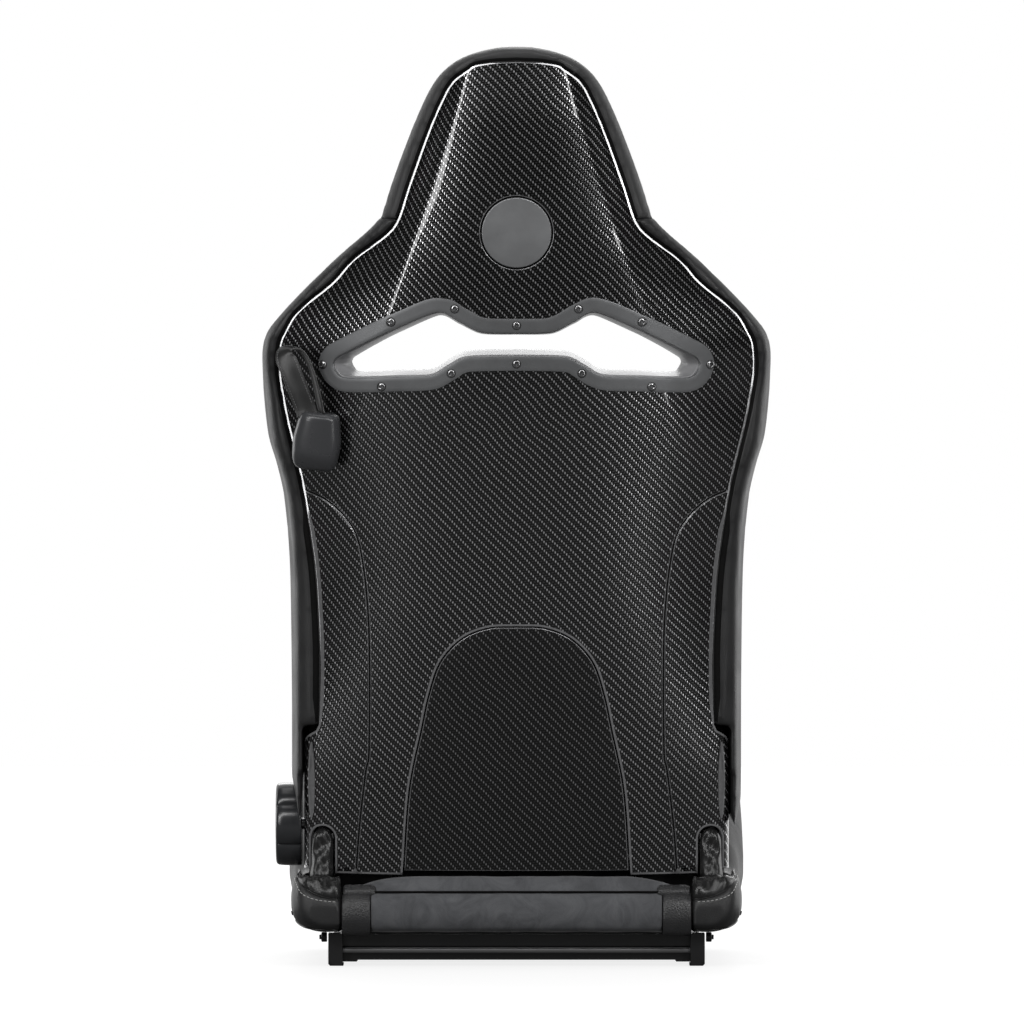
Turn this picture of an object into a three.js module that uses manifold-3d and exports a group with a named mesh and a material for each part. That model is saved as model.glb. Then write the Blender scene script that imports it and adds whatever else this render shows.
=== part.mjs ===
// Reclining sports seat: a moulded carbon back shell with leather and suede pads, on a cushion
// with slide rails. Millimetres. +X is the seat's right, +Y its front, +Z up. The origin is on
// the floor under the middle of the seat.
import * as THREE from 'three';
import { mergeVertices } from 'three/addons/utils/BufferGeometryUtils.js';
import Module from 'manifold-3d';

const wasm = await Module();
wasm.setup();

// ---- driving dimensions ---------------------------------------------------------------------
const GAP = 0.4;                    // clearance between pieces that touch
const PIVOT_Y = -146;               // recline axis, fore and aft
const PIVOT_Z = 149;                // recline axis, height above the floor
const BACK_LEAN = 10;               // degrees the back leans at rest

const LAMINATE = 3.2;               // thickness of the carbon shell
const SHELL_BOTTOM = -41;
const SHELL_CROWN = 827;            // top of the shell at the middle
const PANEL_THICK = 2.7;            // thickness of the lower panel and of the badge disc
const PANEL_GAP = 1.6;              // groove round the lower panel
const PANEL_FOOT_HALF = 119.6;      // half width of the panel's straight foot
const PANEL_TOP = 227;              // height of the panel's arch
const FLANGE_THICK = 2.5;           // ledge behind the panel and the badge
const FLANGE_REACH = 9;             // ledge width to each side of the panel's edge
const GROOVE_WIDTH = 2.6;           // groove along the wings
const GROOVE_DEPTH = 1.5;

const RING_THICK = 3.6;             // surround plate of the slot
const RING_BAND = 15;               // its width round the slot
const LINER_WALL = 2.6;             // liner of the slot
const LINER_DEPTH = 34;             // liner's length from the shell forward
const LINER_CLEARANCE = 1;          // its bore stands back from the surround's edge by this
const SCREW_HEAD = 9;               // surround screws, head diameter
const SCREW_RISE = 2.4;             // height of the screw heads
const SCREW_SOCKET = 3.4;           // across the corners of their hexagon

const BADGE_RADIUS = 36.8;
const BADGE_CLEARANCE = 1.7;
const BADGE_HEIGHT = 648;           // badge centre above the pivot, along the back

const EAR_SIDE = 226;               // outer face of the shell's lower ears
const EAR_FRONT = -15;              // front edge of the ears
const EAR_WALL = 3;
const EAR_CORNER = 13;              // radius that turns the back face into the ear
const EAR_TIP = 111;                // top of the ear's fin
const NOTCH_INNER = 193;            // lower corner notches of the shell
const NOTCH_OUTER = 219;
const NOTCH_TOP = 10;

const INSERT_HALF = 128;            // half width of the suede middle
const PAD_SEAM = 400;               // seam between the back insert and the shoulder pad
const HEAD_SEAM = 658;              // seam between the shoulder pad and the head pad
const PAD_GAP = 1.0;                // room between neighbouring pads
const PAD_LIFT = 2.5;               // room between the pads and the ledges of the shell
const ROLL_RISE = 3;                // leather roll's height behind the shell's edge
const ROLL_OVERLAP = 12;            // head pad's height above the shell's crown
const FOOT_ROLL = 22;               // radius of the pads' lower end round the shaft

const HINGE_INNER = 190;            // back hinge plates, inner face
const PLATE_THICK = 5.5;            // hinge plates and brackets
const BRACKET_INNER = 197;          // seat brackets, inner face
const DISC_RADIUS = 37.5;           // recliner discs
const DISC_THICK = 8;
const ARM_THICK = 4.7;              // recliner arms
const COVER_THICK = 3;              // plastic recliner covers
const COVER_RADIUS = 46;
const COVER_REACH = 76;             // how far they go forward of the recline axis
const COVER_FOOT = 54;              // and below it
const STOP_RADIUS = 5;              // stop pins of the tilt
const STOP_FORWARD = -22;           // their place on the recliner arm
const STOP_UP = 40;
const BUSH_RADIUS = 10.5;           // pivot bushes
const SHAFT_RADIUS = 6;             // synchronising shaft
const KNOB_RADIUS = 46.5;
const KNOB_WIDTH = 28;
const KNOB_LOBES = 6;
const KNOB_HOLLOW = 4.5;            // depth of the hollows between the lobes
const KNOB_INNER = 229;             // knob's inner face

const SWEEP_RADIUS = 93;            // clear radius round the recline axis for the shell's foot
const EAR_SWEEP = 71;               // the same for the front of the ears
const CUSHION_HALF = 240;
const CUSHION_BOTTOM = 36.6;
const CUSHION_LENGTH = 476;         // from the pivot to the front of the cushion
const FRONT_ROLL = 35.5;            // depth of the front roll
const CUSHION_REAR = -8;            // rear end of the cushion insert, from the pivot
const REAR_REACH = 98;              // from the pivot to the back of the rear roll
const REAR_BAND_HALF = 186;
const REAR_BAND_TOP = 78;
const APRON_TOP = 94.5;

const PAN_HALF = 196.5;
const PAN_SHEET = 3;
const PAN_FLOOR = 37;
const PAN_WALL_TOP = 58;
const PAN_HOLE = 22;                // radius of the lightening holes

const RAIL_OUTER = 197;             // lower rails, outer wall
const RAIL_WIDTH = 28;
const RAIL_SHEET = 2.5;
const RAIL_BOTTOM = 4;
const RAIL_TOP = 27;
const RAIL_LENGTH = 416;
const RAIL_REAR = -206;
const SLIDER_LENGTH = 300;
const SLIDER_REAR = -98;
const SLIDER_TOP = 36.4;
const FOOT_OUTER = 200;
const FOOT_WIDTH = 16;
const FOOT_HEIGHT = 34;
const FOOT_LENGTH = 40;
const TIE_FRONT_Y = 176;

const BAR_RADIUS = 4;               // release bar
const BAR_HALF = 158;
const BAR_PIVOT_Y = 60;
const BAR_PIVOT_Z = 24;
const BAR_REACH = 200;              // from its pivot to the handle
const BAR_DROP = 10;                // handle below the pivot

const STRAP_WIDTH = 22;             // pull strap
const STRAP_THICK = 2.4;
const GRIP_WIDTH = 51;
const GRIP_LENGTH = 62;
const GRIP_THICK = 28;
const GRIP_SIDE = -211;             // grip's centre, across and up the back
const GRIP_UP = 425;
const GRIP_TILT = 0.12;             // the grip hangs with its top towards the seat's edge

// ---- materials --------------------------------------------------------------------------------
const paint = (color, roughness, metalness) =>
  new THREE.MeshStandardMaterial({ color, roughness, metalness });
const carbon = paint(0x101012, 0.15, 0.1);
const leather = paint(0x1a1a1b, 0.5, 0);
const suede = paint(0x2a2b2d, 0.95, 0);
const satinPlate = paint(0x3c3d3f, 0.4, 0.4);
const plastic = paint(0x333436, 0.45, 0);
const blackSteel = paint(0x0c0c0d, 0.4, 0.5);
const steel = paint(0xb0b2b5, 0.3, 1);
const screwSteel = paint(0x55575a, 0.3, 0.9);

// ---- curves and solids ------------------------------------------------------------------------
// A smooth curve through [position, value] pairs that never overshoots them, flat beyond its ends.
function through(pairs) {
  const secant = (i) => (pairs[i + 1][1] - pairs[i][1]) / (pairs[i + 1][0] - pairs[i][0]);
  const slope = (i) => {
    if (i === 0) return secant(0);
    if (i === pairs.length - 1) return secant(i - 1);
    const [a, b] = [secant(i - 1), secant(i)];
    return a * b <= 0 ? 0 : (2 * a * b) / (a + b);
  };
  return (position) => {
    const last = pairs.length - 1;
    if (position <= pairs[0][0]) return pairs[0][1];
    if (position >= pairs[last][0]) return pairs[last][1];
    let i = 0;
    while (position > pairs[i + 1][0]) i += 1;
    const step = pairs[i + 1][0] - pairs[i][0];
    const t = (position - pairs[i][0]) / step;
    const rise = pairs[i][1] * (2 * t ** 3 - 3 * t ** 2 + 1) + pairs[i + 1][1] * (3 * t ** 2 - 2 * t ** 3);
    return rise + step * (slope(i) * (t ** 3 - 2 * t ** 2 + t) + slope(i + 1) * (t ** 3 - t ** 2));
  };
}

// The same geometry with its shared points merged.
function welded(geometry) {
  const bare = geometry.clone();
  bare.deleteAttribute('normal');
  bare.deleteAttribute('uv');
  return mergeVertices(bare, 1e-4);
}

function solidOf(geometry) {
  const bare = welded(geometry);
  return new wasm.Manifold(new wasm.Mesh({
    numProp: 3,
    vertProperties: new Float32Array(bare.attributes.position.array),
    triVerts: new Uint32Array(bare.index.array),
  }));
}

function geometryOf(solid) {
  const mesh = solid.getMesh();
  const geometry = new THREE.BufferGeometry();
  geometry.setAttribute('position', new THREE.BufferAttribute(mesh.vertProperties, 3));
  geometry.setIndex(new THREE.BufferAttribute(mesh.triVerts, 1));
  geometry.computeVertexNormals();
  return geometry;
}

const cut = (geometry, ...tools) =>
  geometryOf(tools.reduce((rest, tool) => rest.subtract(solidOf(tool)), solidOf(geometry)));
const join = (geometry, ...others) =>
  geometryOf(others.reduce((sum, other) => sum.add(solidOf(other)), solidOf(geometry)));
const common = (geometry, ...others) =>
  geometryOf(others.reduce((rest, other) => rest.intersect(solidOf(other)), solidOf(geometry)));

function meshFrom(points, faces) {
  const geometry = new THREE.BufferGeometry();
  geometry.setAttribute('position', new THREE.Float32BufferAttribute(points.flat(), 3));
  geometry.setIndex(faces.flat());
  geometry.computeVertexNormals();
  return geometry;
}

// A closed body through equal loops of points, with flat caps, turned so that it faces out.
function loft(loops) {
  const count = loops[0].length;
  const faces = [];
  for (let i = 0; i < loops.length - 1; i += 1) {
    for (let k = 0; k < count; k += 1) {
      const a = i * count + k;
      const b = i * count + ((k + 1) % count);
      faces.push([a, b, a + count], [b, b + count, a + count]);
    }
  }
  const capOf = (loop, start, flip) => {
    const centre = loop.reduce((sum, p) => sum.map((value, axis) => value + p[axis] / count), [0, 0, 0]);
    const normal = new THREE.Vector3();
    for (let k = 0; k < count; k += 1) {
      const a = new THREE.Vector3(...loop[k]).sub(new THREE.Vector3(...centre));
      const b = new THREE.Vector3(...loop[(k + 1) % count]).sub(new THREE.Vector3(...centre));
      normal.add(a.cross(b));
    }
    const size = [Math.abs(normal.x), Math.abs(normal.y), Math.abs(normal.z)];
    const drop = size.indexOf(Math.max(...size));
    const axes = [[1, 2], [2, 0], [0, 1]][drop];
    const flat = loop.map((p) => new THREE.Vector2(p[axes[0]], p[axes[1]]));
    const turned = THREE.ShapeUtils.isClockWise(flat);
    THREE.ShapeUtils.triangulateShape(flat, []).forEach(([a, b, c]) => {
      const forward = [start + a, start + b, start + c];
      const back = [start + a, start + c, start + b];
      const counter = turned ? !capTurns(flat, [a, b, c]) : capTurns(flat, [a, b, c]);
      faces.push(counter === flip ? back : forward);
    });
  };
  capOf(loops[0], 0, true);
  capOf(loops[loops.length - 1], (loops.length - 1) * count, false);
  const body = meshFrom(loops.flat(), faces);
  return volumeOf(body) < 0 ? turnedOver(body) : body;
}

// True where a triangle runs counter-clockwise in the plane.
function capTurns(flat, [a, b, c]) {
  const first = flat[b].clone().sub(flat[a]);
  return first.cross(flat[c].clone().sub(flat[a])) > 0;
}

function volumeOf(geometry) {
  const p = geometry.attributes.position;
  const index = geometry.index.array;
  const [a, b, c] = [new THREE.Vector3(), new THREE.Vector3(), new THREE.Vector3()];
  let total = 0;
  for (let i = 0; i < index.length; i += 3) {
    a.fromBufferAttribute(p, index[i]);
    b.fromBufferAttribute(p, index[i + 1]);
    c.fromBufferAttribute(p, index[i + 2]);
    total += a.dot(b.cross(c)) / 6;
  }
  return total;
}

function turnedOver(geometry) {
  const index = geometry.index.array;
  for (let i = 0; i < index.length; i += 3) [index[i], index[i + 1]] = [index[i + 1], index[i]];
  geometry.computeVertexNormals();
  return geometry;
}

// A closed sheet between two grids of points of the same size, cut alike on its left and right.
function slab(near, far) {
  const rows = near.length;
  const columns = near[0].length;
  const points = [...near.flat(), ...far.flat()];
  const at = (layer, r, c) => layer * rows * columns + r * columns + c;
  const faces = [];
  for (let r = 0; r < rows - 1; r += 1) {
    for (let c = 0; c < columns - 1; c += 1) {
      const [a, b] = [[r, c], [r, c + 1]];
      const [d, e] = [[r + 1, c], [r + 1, c + 1]];
      const halves = c < (columns - 1) / 2 ? [[a, b, e], [a, e, d]] : [[a, b, d], [b, e, d]];
      halves.forEach((half) => {
        faces.push(half.map(([i, j]) => at(0, i, j)));
        faces.push(half.map(([i, j]) => at(1, i, j)).reverse());
      });
    }
  }
  const rim = [];
  for (let c = 0; c < columns - 1; c += 1) rim.push([0, c]);
  for (let r = 0; r < rows - 1; r += 1) rim.push([r, columns - 1]);
  for (let c = columns - 1; c > 0; c -= 1) rim.push([rows - 1, c]);
  for (let r = rows - 1; r > 0; r -= 1) rim.push([r, 0]);
  rim.forEach(([r, c], i) => {
    const [s, d] = rim[(i + 1) % rim.length];
    faces.push([at(0, r, c), at(1, r, c), at(0, s, d)]);
    faces.push([at(0, s, d), at(1, r, c), at(1, s, d)]);
  });
  const body = meshFrom(points, faces);
  return volumeOf(body) < 0 ? turnedOver(body) : body;
}

// A prism of an (x, height) outline that runs from one depth to another along y.
function upright(shape, from, to, curveSegments = 6) {
  const body = new THREE.ExtrudeGeometry(shape, { depth: to - from, bevelEnabled: false, curveSegments });
  return body.rotateX(Math.PI / 2).translate(0, to, 0);
}

// A prism of a (y, z) outline that runs from one x to another.
function sideways(shape, from, to, curveSegments = 8) {
  const body = new THREE.ExtrudeGeometry(shape, { depth: to - from, bevelEnabled: false, curveSegments });
  body.rotateZ(Math.PI / 2).rotateY(Math.PI / 2);
  return body.translate(from, 0, 0);
}

// A cylinder along x.
function axle(radius, from, to, sides = 20) {
  return new THREE.CylinderGeometry(radius, radius, to - from, sides)
    .rotateZ(Math.PI / 2).translate((from + to) / 2, 0, 0);
}

function block(x0, x1, y0, y1, z0, z1) {
  return new THREE.BoxGeometry(x1 - x0, y1 - y0, z1 - z0)
    .translate((x0 + x1) / 2, (y0 + y1) / 2, (z0 + z1) / 2);
}

function shapeOf(points) {
  return new THREE.Shape(points.map(([a, b]) => new THREE.Vector2(a, b)));
}

// A tool with an outline seen from behind, from behind the back to in front of it.
const throughBack = (shape) => upright(shape, -140, 90);

// A ring of points moved outward by an amount; the ring runs counter-clockwise.
function grown(ring, amount) {
  return ring.map(([x, y], i) => {
    const next = ring[(i + 1) % ring.length];
    const before = ring[(i + ring.length - 1) % ring.length];
    const run = new THREE.Vector2(next[0] - before[0], next[1] - before[1]).normalize();
    return [x + run.y * amount, y - run.x * amount];
  });
}

const mirrored = (half) => [...half, ...half.slice().reverse()
  .filter(([x]) => Math.abs(x) > 1e-6).map(([x, w]) => [-x, w])];

// ---- the back, in its own axes: x across, v forward, w up from the pivot ----------------------
const backDepth = through([[-45, -74], [100, -80], [250, -84], [420, -80], [530, -74], [650, -64],
  [760, -52], [830, -36]]);
const sideDepth = through([[-41, 16], [60, 20], [120, 28], [200, 42], [300, 54], [420, 56], [530, 44],
  [575, 34], [650, 22], [760, 16], [830, 10]]);
const sideReach = through([[-41, 212], [97, 210], [185, 209], [261, 212], [365, 226], [462, 248],
  [516, 253], [553, 237], [610, 186], [653, 138], [690, 116], [760, 96], [830, 84]]);
const creaseAt = through([[380, 205], [413, 190], [470, 160], [520, 147], [575, 130], [690, 92],
  [803, 56], [840, 46]]);
const flankSlope = through([[400, 0], [470, 0.14], [530, 0.16], [575, 0.3], [620, 0.5], [760, 0.62],
  [830, 0.55]]);

// Outer face of the shell, seen from behind.
function shellDepth(x, w) {
  const reach = Math.abs(x);
  const flank = Math.max(0, reach - creaseAt(w)) * flankSlope(w);
  return backDepth(w) + sideDepth(w) * (reach / sideReach(w)) ** 2.6 + flank;
}

// Half width of the shell and of the leather roll round it.
const shellHalf = through([[-41, 212], [60, 211], [97, 210], [185, 209], [261, 212], [365, 226],
  [462, 248], [500, 253], [522, 251], [540, 243], [553, 235], [592, 191], [610, 176], [653, 128],
  [690, 115], [759, 90], [784, 79], [804, 68], [821, 46]]);
const rollHalf = through([[0, 233], [40, 235], [120, 235], [197, 235.6], [274, 237], [352, 243],
  [390, 251], [418, 259.5], [456, 265], [510, 270], [530, 266], [546, 255], [580, 225], [624, 180],
  [650, 152], [658, 145], [690, 134], [726, 121], [775, 101], [800, 88], [812, 79], [825, 63],
  [834, 42], [840, 14]]);

const shellRows = [-60, 10, 70, 150, 230, 310, 370, 413, 450, 485, 520, 552, 580, 612, 650, 690, 730,
  770, 803, 830];

// A layer that follows the shell, between two depths in front of its outer face.
function shellLayer(from, to) {
  const across = (w) => {
    const crease = creaseAt(w);
    const outer = Math.max(sideReach(w) * 1.1, crease + 15);
    const inner = [0, 0.4, 0.75, 1].map((s) => s * crease);
    const flank = [0.33, 0.67, 1].map((s) => crease + s * (outer - crease));
    return [...inner, ...flank];
  };
  const gridAt = (depth) => shellRows.map((w) => {
    const half = across(w);
    const row = [...half.slice(1).reverse().map((x) => -x), ...half];
    return row.map((x) => [x, shellDepth(x, w) + depth, w]);
  });
  return slab(gridAt(from), gridAt(to));
}

function shellOutline(grow = 0) {
  const half = [[EAR_SIDE - EAR_CORNER, SHELL_BOTTOM], [212, 0], [210.5, 60]];
  const heights = [97, 185, 261, 320, 365, 415, 462, 485, 505, 522, 534, 544, 558, 575, 592, 612, 632, 655,
    690, 725, 759, 784, 800, 812, 821];
  heights.forEach((w) => half.push([shellHalf(w), w]));
  half.push([25, SHELL_CROWN - 1.5], [0, SHELL_CROWN]);
  return shapeOf(grown(mirrored(half), grow));
}

// The shell's lower panel: an arch with a straight foot.
function panelOutline(grow, foot) {
  const edge = new THREE.SplineCurve([[PANEL_FOOT_HALF, SHELL_BOTTOM], [113, 51], [100, 117],
    [92, 155], [80, 190], [58, 215], [30, PANEL_TOP]]
    .map(([x, w]) => new THREE.Vector2(x, w))).getPoints(10);
  const arch = mirrored([...edge.map((p) => [p.x, p.y]), [0, PANEL_TOP + 1.5]]);
  const ring = grown(arch, grow);
  ring[0] = [PANEL_FOOT_HALF + grow, foot];
  ring[ring.length - 1] = [-PANEL_FOOT_HALF - grow, foot];
  return shapeOf(ring);
}

// The shoulder slot's outline as upper and lower edges over x, from the middle to its round end.
const slotInner = [[0, 542.7], [37, 544], [60, 555], [83, 564.7], [130, 545], [176, 520], [189, 512],
  [192.5, 504], [188, 495.5], [178, 491.5], [130, 494.5], [90, 497], [70, 508], [52, 516.3], [0, 517.7]];
function slotOutline(grow) {
  const full = mirrored(slotInner).map(([x, w]) => new THREE.Vector2(x, w));
  const curve = new THREE.CatmullRomCurve3(full.map((p) => new THREE.Vector3(p.x, p.y, 0)), true,
    'catmullrom', 0.4);
  const ring = curve.getPoints(40).slice(0, -1).map((p) => [p.x, p.y]).reverse();
  return shapeOf(grown(ring, grow));
}

const wingEdge = [[222, 366], [205, 360], [189, 349], [175, 333], [168, 318], [164, 300], [159, 262],
  [156, 204], [156.5, 94], [160, 70], [167, 9], [172, -60]];

// A ribbon along the wing's inner edge, for the groove.
function wingGroove() {
  const line = new THREE.SplineCurve(wingEdge.map(([x, w]) => new THREE.Vector2(x, w))).getPoints(14);
  const normals = line.map((p, i) => {
    const run = line[Math.min(i + 1, line.length - 1)].clone().sub(line[Math.max(i - 1, 0)]).normalize();
    return new THREE.Vector2(run.y, -run.x);
  });
  const side = (sign) => line.map((p, i) => [p.x + sign * normals[i].x * GROOVE_WIDTH / 2,
    p.y + sign * normals[i].y * GROOVE_WIDTH / 2]);
  return shapeOf([...side(1), ...side(-1).reverse()]);
}

function ear() {
  const [side, corner, wall] = [EAR_SIDE, EAR_CORNER, EAR_WALL];
  const rear = shellDepth(side - corner, 20);
  const section = new THREE.Shape();
  section.moveTo(side - corner - 8, rear - 1);
  section.lineTo(side - corner, rear);
  section.absarc(side - corner, rear + corner, corner, -Math.PI / 2, 0, false);
  section.lineTo(side, EAR_FRONT);
  section.lineTo(side - wall, EAR_FRONT);
  section.lineTo(side - wall, rear + corner);
  section.absarc(side - corner, rear + corner, corner - wall, 0, -Math.PI / 2, true);
  section.lineTo(side - corner - 8, rear + wall);
  const foot = SHELL_BOTTOM;
  const body = new THREE.ExtrudeGeometry(section, { depth: EAR_TIP - foot, bevelEnabled: false,
    curveSegments: 5 }).translate(0, 0, foot);
  const fin = shapeOf([[rear - 10, foot], [-24, foot], [EAR_FRONT - 2, foot + 4], [EAR_FRONT, foot + 12],
    [EAR_FRONT, 40], [-20, 66], [-34, 92], [-47, 106], [rear - 10, EAR_TIP]]);
  return common(body, sideways(fin, side - 40, side + 5));
}

const mirrorX = (geometry) => turnedOver(welded(geometry).scale(-1, 1, 1));
const BITE = 0.2;                   // how far a ledge grows into the sheet that carries it

function backShell() {
  const notch = new THREE.Shape();
  const [inner, outer] = [NOTCH_INNER, NOTCH_OUTER];
  const round = (outer - inner) / 2;
  notch.moveTo(inner, SHELL_BOTTOM - 30);
  notch.lineTo(outer, SHELL_BOTTOM - 30);
  notch.lineTo(outer, NOTCH_TOP - round);
  notch.absarc(inner + round, NOTCH_TOP - round, round, 0, Math.PI, false);
  const notchTool = upright(notch, -120, -28);
  const ears = cut(ear(), notchTool);
  const sheet = common(shellLayer(0, LAMINATE), throughBack(shellOutline()));
  const plain = cut(sheet, notchTool, mirrorX(notchTool));
  const opening = throughBack(panelOutline(PANEL_GAP, SHELL_BOTTOM - 20));
  const pocket = throughBack(discShape(BADGE_RADIUS + BADGE_CLEARANCE));
  const slot = throughBack(slotOutline(LINER_WALL + LINER_CLEARANCE + 0.9));
  const grooves = common(shellLayer(-4, GROOVE_DEPTH), throughBack(wingGroove()));
  const open = cut(plain, opening, pocket, slot, grooves, mirrorX(grooves));
  const ledge = cut(throughBack(panelOutline(FLANGE_REACH, SHELL_BOTTOM + GAP)),
    throughBack(panelOutline(-FLANGE_REACH, SHELL_BOTTOM - 20)));
  const ledgeSheet = common(shellLayer(LAMINATE - BITE, LAMINATE + FLANGE_THICK), ledge);
  const badgeLedge = common(shellLayer(LAMINATE - BITE, LAMINATE + FLANGE_THICK),
    throughBack(discShape(BADGE_RADIUS + FLANGE_REACH)));
  return join(open, ledgeSheet, badgeLedge, ears, mirrorX(ears));
}

function discShape(radius) {
  const turns = Array.from({ length: 28 }, (_, i) => (i / 28) * 2 * Math.PI);
  return shapeOf(turns.map((turn) => [radius * Math.cos(turn), BADGE_HEIGHT + radius * Math.sin(turn)]));
}

// A sheet let into the shell, seated just behind its ledge.
function inlay(shape) {
  const front = LAMINATE - BITE - GAP;
  return common(shellLayer(front - PANEL_THICK, front), throughBack(shape));
}

function slotSurround() {
  const ring = common(shellLayer(-GAP - RING_THICK, -GAP), throughBack(slotOutline(RING_BAND)));
  return cut(ring, throughBack(slotOutline(0)));
}

// The liner goes through the shell's opening with its wall just inside it.
function slotLiner() {
  const outside = throughBack(slotOutline(LINER_WALL + LINER_CLEARANCE));
  const tube = common(shellLayer(GAP / 2, LAMINATE + LINER_DEPTH), outside);
  return cut(tube, throughBack(slotOutline(LINER_CLEARANCE - GAP)));
}

const screwPlaces = [[0, 550.8], [65, 568], [131.7, 553], [203, 504.2], [141.7, 484.5], [68.6, 500],
  [0, 510.2]];

// Button head: a low dome with a hexagonal socket.
function screw() {
  const radius = SCREW_HEAD / 2;
  const outline = [[0, 0], [radius, 0], [radius, 0.6], [radius * 0.8, SCREW_RISE * 0.75],
    [radius * 0.5, SCREW_RISE], [0, SCREW_RISE]].map(([r, h]) => new THREE.Vector2(r, h));
  const head = new THREE.LatheGeometry(outline, 14);
  const socket = new THREE.CylinderGeometry(SCREW_SOCKET / 2, SCREW_SOCKET / 2, 2, 6)
    .translate(0, SCREW_RISE, 0);
  return cut(head, socket).rotateX(Math.PI);
}

// ---- pads of the back ---------------------------------------------------------------------------
const insertFront = through([[0, FOOT_ROLL], [40, 14], [90, 0], [150, -12], [280, -24], [400, -30]]);
const shoulderFront = through([[400, -30], [480, -28], [560, -26], [658, -22]]);
const bolsterCrest = through([[8, 40], [45, 62], [100, 90], [200, 118], [300, 120], [390, 96],
  [450, 58], [500, 34], [560, 8], [600, -8], [658, -16]]);
const bolsterInner = through([[8, INSERT_HALF], [400, INSERT_HALF], [430, 150], [458, 190], [480, 202],
  [556, 202], [590, 176], [609, 158], [640, 124], [656, 108]]);
const headFront = through([[658, -14], [700, 0], [760, 10], [810, 2], [840, -14]]);

// Depth just in front of the shell and its ledges, for the back faces of the pads.
const BACKING = LAMINATE + FLANGE_THICK + PAD_LIFT;
const behindPad = (x, w) => shellDepth(x, w) + BACKING;

// The shell with the space behind it, to a depth in front of its outer face.
function padRoom(depth) {
  return common(shellLayer(-60, depth), throughBack(shellOutline(1)));
}

// Lower end of a pad: it reaches back to the shell and rolls round the shaft.
function padFoot(from, to) {
  const back = Math.max(behindPad(to, -FOOT_ROLL), behindPad(to, 12));
  const outline = new THREE.Shape();
  outline.moveTo(back, 12);
  outline.lineTo(back, -FOOT_ROLL);
  outline.lineTo(-FOOT_ROLL - 16, -FOOT_ROLL);
  outline.absarc(0, 0, FOOT_ROLL, Math.PI * 1.14, Math.PI * 2, false);
  outline.lineTo(FOOT_ROLL, 12);
  return sideways(outline, from, to, 6);
}

// Back insert and shoulder pad: a crowned face with drawn-in sides.
function middlePad(heights, half, front) {
  const loops = heights.map((w) => {
    const reach = half(w) - PAD_GAP / 2;
    const loop = [];
    [-1, -0.86, -0.6, -0.3, 0, 0.3, 0.6, 0.86, 1].forEach((s) => {
      loop.push([s * reach, behindPad(s * reach, w), w]);
    });
    [1, 0.95, 0.8, 0.4, 0, -0.4, -0.8, -0.95, -1].forEach((s) => {
      const drop = 14 * Math.abs(s) ** 6;
      loop.push([s * (reach - 1.5), Math.max(front(w) - drop, behindPad(s * reach, w) + 5), w]);
    });
    return loop;
  });
  return loft(loops);
}

function backInsert() {
  const heights = [8, 30, 60, 105, 150, 200, 250, 300, 350, 385, PAD_SEAM - PAD_GAP];
  const pad = middlePad(heights, () => INSERT_HALF, insertFront);
  const half = INSERT_HALF - PAD_GAP;
  return cut(join(pad, padFoot(-half, half)), axle(SHAFT_RADIUS + 1, -half - 1, half + 1, 16));
}

// Heights of the pads' sections above the insert, shared so that the pads meet along one line.
const upperRows = [0.1, 0.19, 0.31, 0.43, 0.52, 0.62, 0.72, 0.81, 0.91, 0.996]
  .map((part) => PAD_SEAM + part * (HEAD_SEAM - PAD_SEAM));

function shoulderPad() {
  const pad = middlePad([PAD_SEAM, ...upperRows], bolsterInner, shoulderFront);
  return cut(pad, throughBack(slotOutline(LINER_WALL + LINER_CLEARANCE + 0.5)));
}

// Right leather bolster: it fills the side in front of the shell and rolls round its edge.
function backBolster() {
  const heights = [8, 50, 100, 160, 225, 290, 345, PAD_SEAM, ...upperRows];
  const loops = heights.map((w) => {
    const inner = bolsterInner(w) + PAD_GAP / 2;
    const edge = shellHalf(w) + 1;
    const outer = rollHalf(w);
    const rim = shellDepth(shellHalf(w), w);
    const crest = bolsterCrest(w);
    const face = Math.max(w < PAD_SEAM ? insertFront(w) : shoulderFront(w), behindPad(inner, w) + 5);
    const width = outer - inner;
    const back = [0, 0.33, 0.66, 1].map((s) => {
      const x = inner + s * (edge - 2.2 - inner);
      return [x, behindPad(x, w) - (FLANGE_THICK + PAD_LIFT - 1) * s ** 6, w];
    });
    const deep = Math.max(crest - rim, 20);
    return [...back,
      [edge, rim + 1, w], [edge + 0.4, rim - ROLL_RISE, w],
      [edge + (outer - edge) * 0.35, rim - ROLL_RISE - 2, w],
      [edge + (outer - edge) * 0.8, rim + 1, w], [outer - 0.6, rim + 10, w],
      [outer, rim + deep * 0.42, w], [outer - width * 0.05, rim + deep * 0.75, w],
      [outer - width * 0.16, rim + deep * 0.95, w], [outer - width * 0.3, crest, w],
      [outer - width * 0.5, crest - (crest - face) * 0.12, w],
      [outer - width * 0.72, face + (crest - face) * 0.45, w],
      [inner + width * 0.08, face + 2, w], [inner, face - 3, w]];
  });
  const pad = loft(loops);
  const slotTool = throughBack(slotOutline(LINER_WALL + LINER_CLEARANCE + 0.5));
  const inner = INSERT_HALF + PAD_GAP / 2;
  const foot = padFoot(inner, HINGE_INNER - 8);
  const mechanism = block(HINGE_INNER - 8, EAR_SIDE + 2.4, -110, 70, -10, 62);
  const earRoom = block(EAR_SIDE - EAR_CORNER - 12, EAR_SIDE + 2, -110, EAR_FRONT + 3, -10, EAR_TIP + 6);
  const plateRoom = block(HINGE_INNER - 1, HINGE_INNER + PLATE_THICK + 1, -80, 24, -10, 263);
  const tunnel = axle(SHAFT_RADIUS + 1, inner - 1, HINGE_INNER, 16);
  return cut(join(pad, foot), slotTool, mechanism, earRoom, plateRoom, padRoom(LAMINATE + GAP), tunnel);
}

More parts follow.
